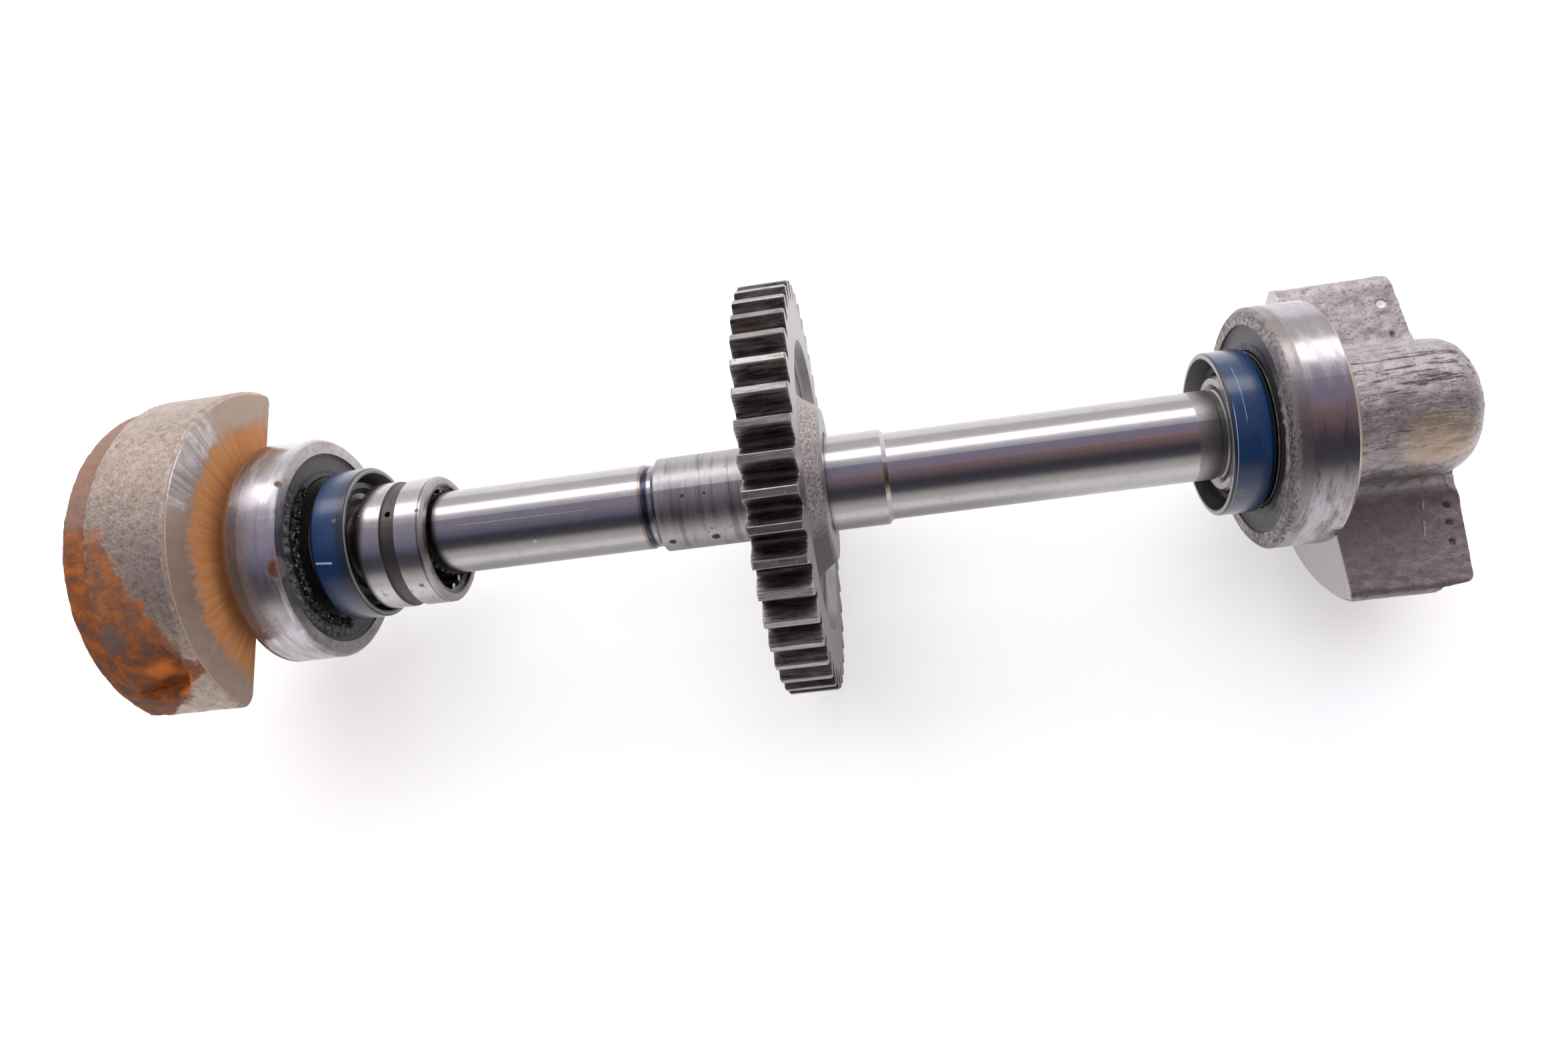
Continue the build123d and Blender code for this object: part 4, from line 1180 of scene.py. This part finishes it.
# %% Bare skin
def bare_skin(p):
    left, right = p.left, p.right
    cloud = p.noise(13.0, detail=4, rough=0.6)
    warm = p.mix(cloud, (0.35, 0.275, 0.215), (0.55, 0.445, 0.37))
    cool = p.mix(cloud, (0.40, 0.36, 0.36), (0.62, 0.57, 0.575))
    colour = p.mix(left, cool, warm)
    colour = p.mix(p.blotch.rise(0.50, 0.72) * 0.4, colour, (0.17, 0.13, 0.105))
    colour = p.mix(p.stipple.rise(0.47, 0.36) * (0.55 - left * 0.2), colour, (0.08, 0.060, 0.05))
    mottled = p.noise(1.9, detail=6, rough=0.8)
    colour = p.mix(left * mottled.rise(0.50, 0.62) * 0.4, colour, (0.66, 0.575, 0.52))
    colour = p.mix(left * mottled.rise(0.48, 0.37) * 0.5, colour, (0.13, 0.10, 0.082))
    # Painted glints: bright specks on the upper part of the left rim only.
    sparkle = p.noise(0.5, detail=4, rough=0.75).rise(0.56, 0.66)
    painted_glints = left * sparkle * (p.angle + p.warp * 40).rise(48, 8)
    colour = p.mix(painted_glints * 0.6, colour, (0.78, 0.73, 0.70))
    colour = p.mix(p.leather.rise(0.45, 0.75) * right * 0.3, colour, (0.14, 0.115, 0.11))
    return colour, painted_glints


# %% [markdown]
# Rust has spread from the pocket over the rim. A patch with an even border looks painted on, so
# noise pushes the border about. Inside it, dark brown and orange flakes lie side by side, with one
# spot almost black and one a vivid orange.


# %% Rust
def rust_patch(p, colour):
    """Orange rust round the pocket, and a brown film on the back of the left weight."""
    warp, blotch = p.warp, p.blotch
    border = LEFT_FACE - (51 - p.angle).most(0.0) * 0.42 - (p.angle - 51).most(0.0) * 0.95
    patch = (border - p.x + warp * 12 + (blotch - 0.5) * 7).rise(-0.8, 1.4)
    patch = patch * p.angle.band(4, 84, 5) * p.radius.rise(36, 44)
    back = (p.behind - RIM_WIDTH + warp * 1.2).rise(-0.4, 0.6) * p.radius.rise(47, 50)
    pocket = p.near((-190.0, -40.5, 31.0), 13.0, 0.35, warp * 9, (1, 0.9, 0.9))
    mask = (patch * 0.9 + back * 0.75 + pocket).clamp() * p.left
    mask = mask * (0.85 + blotch.rise(0.30, 0.55) * 0.15)

    flakes = p.mix(blotch.rise(0.3, 0.7), (0.11, 0.030, 0.007), (0.46, 0.135, 0.020))
    flakes = p.mix(p.stipple.rise(0.56, 0.72) * 0.3, flakes, (0.60, 0.22, 0.035))
    dark_spot = p.near((-195.0, -33.0, 42.0), 6.0, 0.6, warp * 9)
    flakes = p.mix(dark_spot * 0.75, flakes, (0.10, 0.085, 0.085))
    flakes = p.mix(p.noise(1.8, detail=4).rise(0.60, 0.70) * 0.5, flakes, (0.07, 0.03, 0.014))
    vivid = p.near((-184.0, -45.5, 32.8), 8.5, 0.5, warp * 6)
    flakes = p.mix(vivid, flakes, (0.98, 0.29, 0.025))
    brown = p.mix(blotch, (0.13, 0.055, 0.030), (0.36, 0.19, 0.125))
    flakes = p.mix(back * (1 - patch) * 0.75, flakes, brown)
    return p.mix(mask, colour, flakes), mask


# %% [markdown]
# The face beside each bearing was cut on a lathe, which left it smooth. The right one is still bright.
# The left one has a brown film, and rays of rust that spread from its middle. They come from a noise
# pattern that reads the direction away from the shaft, so it hardly changes along a radius. Edges that
# touch other things are rubbed bright, and the rim's back edge gets a painted highlight along its top.


# %% Turned faces and worn edges
def turned_faces(p, colour):
    """Steel rings on the right face; a brown film and rays of rust on the left one."""
    steel = p.mix(p.streaks, (0.42, 0.40, 0.395), (0.64, 0.615, 0.61))
    film = p.mix(p.blotch, (0.40, 0.275, 0.19), (0.64, 0.475, 0.35))
    colour = p.mix(p.turned * 0.92, colour, p.mix(p.left, steel, film))
    bloom = (p.radius + p.warp * 9 + (p.streaks - 0.5) * 12).rise(45.5, 41.5)
    rusty = p.turned * p.left * bloom
    rays = p.mix(p.streaks.rise(0.25, 0.75), (0.76, 0.26, 0.048), (0.98, 0.44, 0.11))
    return p.mix(rusty * 0.97, colour, rays), rusty


def edge_wear_and_highlight(p, colour):
    """Bright metal on the rim's front edge and on a rubbed part of the left face, and a painted highlight
    along the top of the rim's back edge.
    """
    lip = p.radius.rise(WEIGHT_RADIUS - 1.2, WEIGHT_RADIUS - 0.5)
    # Painted highlight: the rim's back edge is bright only on its upper part.
    back_edge_highlight = p.behind.band(RIM_WIDTH - 0.7, RIM_WIDTH + 0.1, 0.35) * p.angle.rise(25, -5)
    wear_and_highlight = lip * back_edge_highlight + lip * p.behind.band(0.7, 1.2, 0.25) * 0.35
    rubbed = p.left * (p.angle + p.warp * 30).band(-40, -2, 4) * p.face
    rubbed = rubbed * (p.radius + p.warp * 16).rise(43.5, 46) * p.blotch.rise(0.30, 0.52)
    bright = (wear_and_highlight * p.blotch.rise(0.42, 0.58) + rubbed * 0.9).clamp()
    shine = p.mix(p.streaks.rise(0.35, 0.65), (0.27, 0.255, 0.27), (0.62, 0.60, 0.62))
    return p.mix(bright * 0.85, colour, shine), bright


# %% [markdown]
# The boss of the right casting has dark folds from its mould and a golden tint, and the flat has small
# dents, a gouge painted white as a reflection in its hollow, and a bright ridge. Marks this small could
# be modelled, but the casting's faces are about a millimetre across, which is too coarse for them. A mask
# with a deep bump shows them sharply.

# %% Boss and flat
FLAT_DENTS = [((191.8, -27.6, -FLAT_DEPTH), 1.1), ((191.3, -32.9, -FLAT_DEPTH), 1.1),
              ((190.8, -38.7, -FLAT_DEPTH), 1.1), ((190.2, 28.5, -FLAT_DEPTH), 1.0)]
FLAT_GOUGE_GLINT = (189.5, 39.3, -FLAT_DEPTH)
FLAT_RIDGE = ((185.9, -23.2, -FLAT_DEPTH), (183.4, -38.4, -FLAT_DEPTH))


def boss_folds(p, colour):
    """Dark folds and a golden tint on the right boss."""
    wrinkles = p.noise(1.5, p.scaled(p.place, (0.10, 1, 1)), detail=4, rough=0.7)
    boss = p.right * p.radius.rise(21.4, 20.8) * p.z.rise(-10.0, -6.0)
    folds = boss * wrinkles.rise(0.53, 0.64) * p.angle.band(-45, 48, 14)
    colour = p.mix(folds * 0.7, colour, (0.045, 0.036, 0.034))
    golden = p.near((181.5, -15.0, 13.5), 14.0, 0.7, p.warp * 10) * boss
    return p.mix(golden * 0.6, colour, (0.60, 0.46, 0.29)), folds


def flat_marks(p, colour):
    """Shade, dents, a gouge painted white as a reflection, and a bright ridge on the right flat; gives
    their height too.
    """
    on_flat = p.right * p.z.band(-11.6, -9.9, 0.3)
    dents = p.spots(FLAT_DENTS, None) * on_flat
    # The gouge is painted white: a painted reflection in its hollow.
    gouge_glint = p.near(FLAT_GOUGE_GLINT, 1.7, 0.3, p.warp) * on_flat
    ridge = p.scratch(*FLAT_RIDGE, 0.75) * p.blotch.rise(0.35, 0.5) * on_flat
    shade = p.right * p.y.rise(-14, -24) * p.z.rise(-7, -9) * (1 - p.turned)
    colour = p.mix(shade * 0.6, colour, (0.17, 0.130, 0.125))
    colour = p.mix((gouge_glint + ridge * 0.3).clamp(), colour, (0.95, 0.94, 0.92))
    colour = p.mix(dents.clamp() * 0.7, colour, (0.07, 0.055, 0.05))
    return colour, gouge_glint, ridge * 10 - dents * 10 - gouge_glint * 3


# %% Layers put together
def journals(p, colour):
    """Ground steel on both journals, with old grease and painted shade on the left one, in the gap beside
    its seal.
    """
    colour = p.mix(p.journal * 0.95, colour, (0.30, 0.285, 0.28))
    # Nearly black beside the left seal: old grease and painted shade.
    grease_and_shade = p.journal * p.left * p.x.rise(-146.5, -149.0)
    return p.mix(grease_and_shade * 0.85, colour, (0.06, 0.057, 0.053))


def cast_iron():
    p = CastIron()
    colour, painted_glints = bare_skin(p)
    colour, rust = rust_patch(p, colour)
    colour, rusty = turned_faces(p, colour)
    colour, bright = edge_wear_and_highlight(p, colour)
    colour, folds = boss_folds(p, colour)
    colour, gouge_glint, marks = flat_marks(p, colour)
    colour = journals(p, colour)
    left_turned = p.left * p.turned
    rough = 0.28 + p.stipple * 0.22 + rust * 0.34 - p.turned * 0.04 + rusty * 0.28 - bright * 0.16
    rough = rough - gouge_glint * 0.2 - p.journal * 0.10 + folds * 0.2 + left_turned * 0.12 - painted_glints * 0.2
    metal = 0.92 - p.left * 0.10 - gouge_glint * 0.9 - rust * 0.75 - rusty * 0.70 + bright * 0.1
    metal = metal - left_turned * (1 - bright) * 0.45
    as_cast = (1 - p.turned) * (1 - p.journal) * (1 - bright * 0.7)
    grain = p.noise(0.4)
    height = as_cast * (p.stipple * 8 + grain * 1.5 - p.leather * p.right * 8 + rust * grain * 5)
    height = height + p.streaks * p.turned * 1.6 - folds * 7 + marks
    return p.finish(colour, rough.clamp(), metal.clamp(), p.bump(height, 0.035))


# %% [markdown]
# The remesh leaves small steps on a round journal, which would show in polished metal. So each
# casting's copy is cut off beside its turned face, and the journal is an outline in millimetres
# turned once round the shaft, with as many sides as it needs to look round.

# %% Turned journals
BORE_RADIUS = 13.52
BORE_MOUTH = 14.9                      # radius of the bore's chamfer at the journal's end
JOURNAL_RADIUS = 17.5
SHOULDER_RADIUS = 22.6
SLEEVE_START = 1.5                     # where the turned sleeve takes over from the cast copy
JOURNAL_REACH = 26.6                   # from the shoulder to the journal's end
SLEEVE_SIDES = 180


def turned_sleeve(name, outline):
    """A closed outline of places and radii in millimetres, turned once round the shaft."""
    points, faces = [], []
    for j in range(SLEEVE_SIDES):
        angle = 2 * math.pi * j / SLEEVE_SIDES
        points += [(x * MM, r * math.cos(angle) * MM, r * math.sin(angle) * MM) for x, r in outline]
    size = len(outline)
    for j in range(SLEEVE_SIDES):
        for i in range(size):
            k, m = (i + 1) % size, (j + 1) % SLEEVE_SIDES
            faces.append((j * size + i, j * size + k, m * size + k, m * size + i))
    mesh = bpy.data.meshes.new(name)
    mesh.from_pydata(points, [], faces)
    work = bmesh.new()
    work.from_mesh(mesh)
    bmesh.ops.recalc_face_normals(work, faces=work.faces)
    work.to_mesh(mesh)
    work.free()
    return new_piece(name, mesh)


def journal_outline(face, outboard, shoulder):
    """The shoulder ring and the journal; steps are measured inwards from the turned face."""
    end = shoulder + JOURNAL_REACH
    steps = [(SLEEVE_START, BORE_RADIUS), (SLEEVE_START, SHOULDER_RADIUS),
             (shoulder - 0.3, SHOULDER_RADIUS), (shoulder, SHOULDER_RADIUS - 0.3),
             (shoulder, JOURNAL_RADIUS), (end - 0.8, JOURNAL_RADIUS), (end, JOURNAL_RADIUS - 0.8),
             (end, BORE_MOUTH), (end - 1.4, BORE_RADIUS)]
    return [(face - outboard * step, radius) for step, radius in steps]


# %% Castings put together
SKIN_DEPTH = 0.4
LEFT_SHOULDER = 3.6                    # width of the shoulder ring beside each turned face
RIGHT_SHOULDER = 4.6
casting_skin = cast_iron()
skin_tree = Shape("cast skin", **{"Skin depth": 0.0})
skin_tree.close(skin_tree.cast_skin(skin_tree.geometry), casting_skin)
for side, face, outboard, shoulder in (("left", LEFT_FACE, -1, LEFT_SHOULDER),
                                       ("right", RIGHT_FACE, 1, RIGHT_SHOULDER)):
    cut = (face - outboard * SLEEVE_START) * MM
    weight = solid_copy(f"{side}_counterweight", f"{side}_cast_weight", cut, outboard)
    if side == "left":
        lift_pocket(weight.data)
    mesh = even_faces(weight)
    trim_webs(mesh, face, outboard)
    if side == "left":
        press_pocket(mesh)
    mark_skin(mesh, face, outboard)
    mesh = bake(weight, skin_tree.tree, {"Skin depth": SKIN_DEPTH * MM})
    smooth(mesh, 42)
    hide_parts(f"{side}_counterweight")
    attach(weight, "shaft")
    sleeve = turned_sleeve(f"{side}_journal", journal_outline(face, outboard, shoulder))
    sleeve.data.materials.append(casting_skin)
    smooth(sleeve.data, 30)
    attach(sleeve, "shaft")
    print(side, "weight:", triangles(mesh), "triangles, and journal:", triangles(sleeve.data))

# %% [markdown]
# Old grease squeezes out between the left bearing and its seal, and pale grit sticks to it. A bump
# would stay flat at the edge, where the lumps show against the blue, so they are modelled.
# Geometry Nodes scatter small balls at random places in part of a ring, with a fixed seed. For
# grease the balls are melted together through a volume, and for grit they stay apart. The balls
# have only a few faces each, because there are hundreds.


# %% Grease and grit
def grease_finish():
    p = Paint("old grease")
    lumps = p.noise(0.8, detail=3)
    colour = p.mix(lumps, (0.008, 0.007, 0.007), (0.030, 0.027, 0.024))
    dried = p.noise(1.6, p.scaled(p.place, (1, 0.6, 0.6)), detail=5, rough=0.75).rise(0.56, 0.64)
    colour = p.mix(dried * 0.7, colour, (0.23, 0.245, 0.225))
    return p.finish(colour, 0.62 + lumps * 0.2, 0.0, p.bump(lumps, 0.05), {"Specular IOR Level": 0.3})


def grit_finish():
    p = Paint("pale grit")
    colour = p.mix(p.noise(1.0, detail=2), (0.14, 0.135, 0.12), (0.40, 0.40, 0.37))
    return p.finish(colour, 0.75, 0.0, p.bump(p.noise(0.2), 0.05))


def lumps_round(name, material, melted):
    """A tree that scatters lumps in part of a ring about the shaft."""
    sizes = {"Count": 100, "Low x": 0.0, "High x": 0.01, "Low radius": 0.02, "High radius": 0.03,
             "From angle": 0.0, "To angle": 6.28, "Small": 0.0002, "Large": 0.0006, "Seed": 1}
    t = Shape(name, **sizes)

    def chance(low, high, stream):
        inputs = {2: low, 3: high, "ID": t.add("GeometryNodeInputIndex"), "Seed": t.size("Seed") + stream}
        return t.add("FunctionNodeRandomValue", {"data_type": "FLOAT"}, inputs, output=1)

    angle = chance(t.size("From angle"), t.size("To angle"), 0)
    radius = chance(t.size("Low radius"), t.size("High radius"), 11)
    along = chance(t.size("Low x"), t.size("High x"), 22)
    spot = t.combine(along, radius * angle.maths("SINE") * -1, radius * angle.maths("COSINE"))
    points = t.add("GeometryNodePoints", {}, {"Count": t.size("Count"), "Position": spot})
    ball = t.add("GeometryNodeMeshIcoSphere", {}, {"Radius": 1.0, "Subdivisions": 2 if melted else 1})
    grain = chance(t.size("Small"), t.size("Large"), 33)
    stretch = t.combine(grain * 0.7, grain * chance(0.7, 1.8, 44), grain * chance(0.7, 1.8, 55))
    spin = t.combine(chance(0.0, 6.28, 66), chance(0.0, 6.28, 77), 0.0)
    inputs = {"Points": points, "Instance": ball, "Scale": stretch, "Rotation": spin}
    lumps = t.add("GeometryNodeInstanceOnPoints", {}, inputs)
    if melted:
        real = t.add("GeometryNodeRealizeInstances", {}, {0: lumps})
        fog = t.add("GeometryNodeMeshToVolume", {"resolution_mode": "VOXEL_SIZE"},
                    {"Mesh": real, "Voxel Size": 0.25 * MM, "Interior Band Width": 1.0 * MM})
        lumps = t.add("GeometryNodeVolumeToMesh", {"resolution_mode": "VOXEL_SIZE"},
                      {"Volume": fog, "Voxel Size": 0.25 * MM, "Threshold": 0.1})
    return t.close(lumps, material)


# %% Grease and grit put in place
GREASE = {"Count": 260, "Low x": -152.2 * MM, "High x": -151.6 * MM, "Low radius": 23.4 * MM,
          "High radius": 26.2 * MM, "From angle": -0.6, "To angle": 1.9, "Small": 0.35 * MM,
          "Large": 0.7 * MM, "Seed": 3}        # angles run from the top to the front, in radians
GRIT = {"Count": 70, "Low x": -151.6 * MM, "High x": -150.8 * MM, "Low radius": 24.6 * MM,
        "High radius": 27.6 * MM, "From angle": -0.3, "To angle": 1.4, "Small": 0.08 * MM,
        "Large": 0.24 * MM, "Seed": 8}
grease_tree = lumps_round("melted lumps", grease_finish(), True)
grit_tree = lumps_round("loose grains", grit_finish(), False)
for name, tree, sizes in (("grease_left", grease_tree, GREASE), ("grit_left", grit_tree, GRIT)):
    piece = new_piece(name, bpy.data.meshes.new(name))
    mesh = bake(piece, tree, sizes)
    mesh.shade_smooth()
    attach(piece, "left_bearing_outer")
    print(name + ":", triangles(mesh), "triangles")

# %% [markdown]
# The last cell measures the dressed part beside the bare solids. The two boxes should agree to a
# few hundredths of a millimetre, because the cast skin is only ever sunk into the solid.

visual_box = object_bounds()
sizes = {"cad": [list(corner) for corner in cad_box], "visual": [list(corner) for corner in visual_box]}
print("sizes:", sizes)
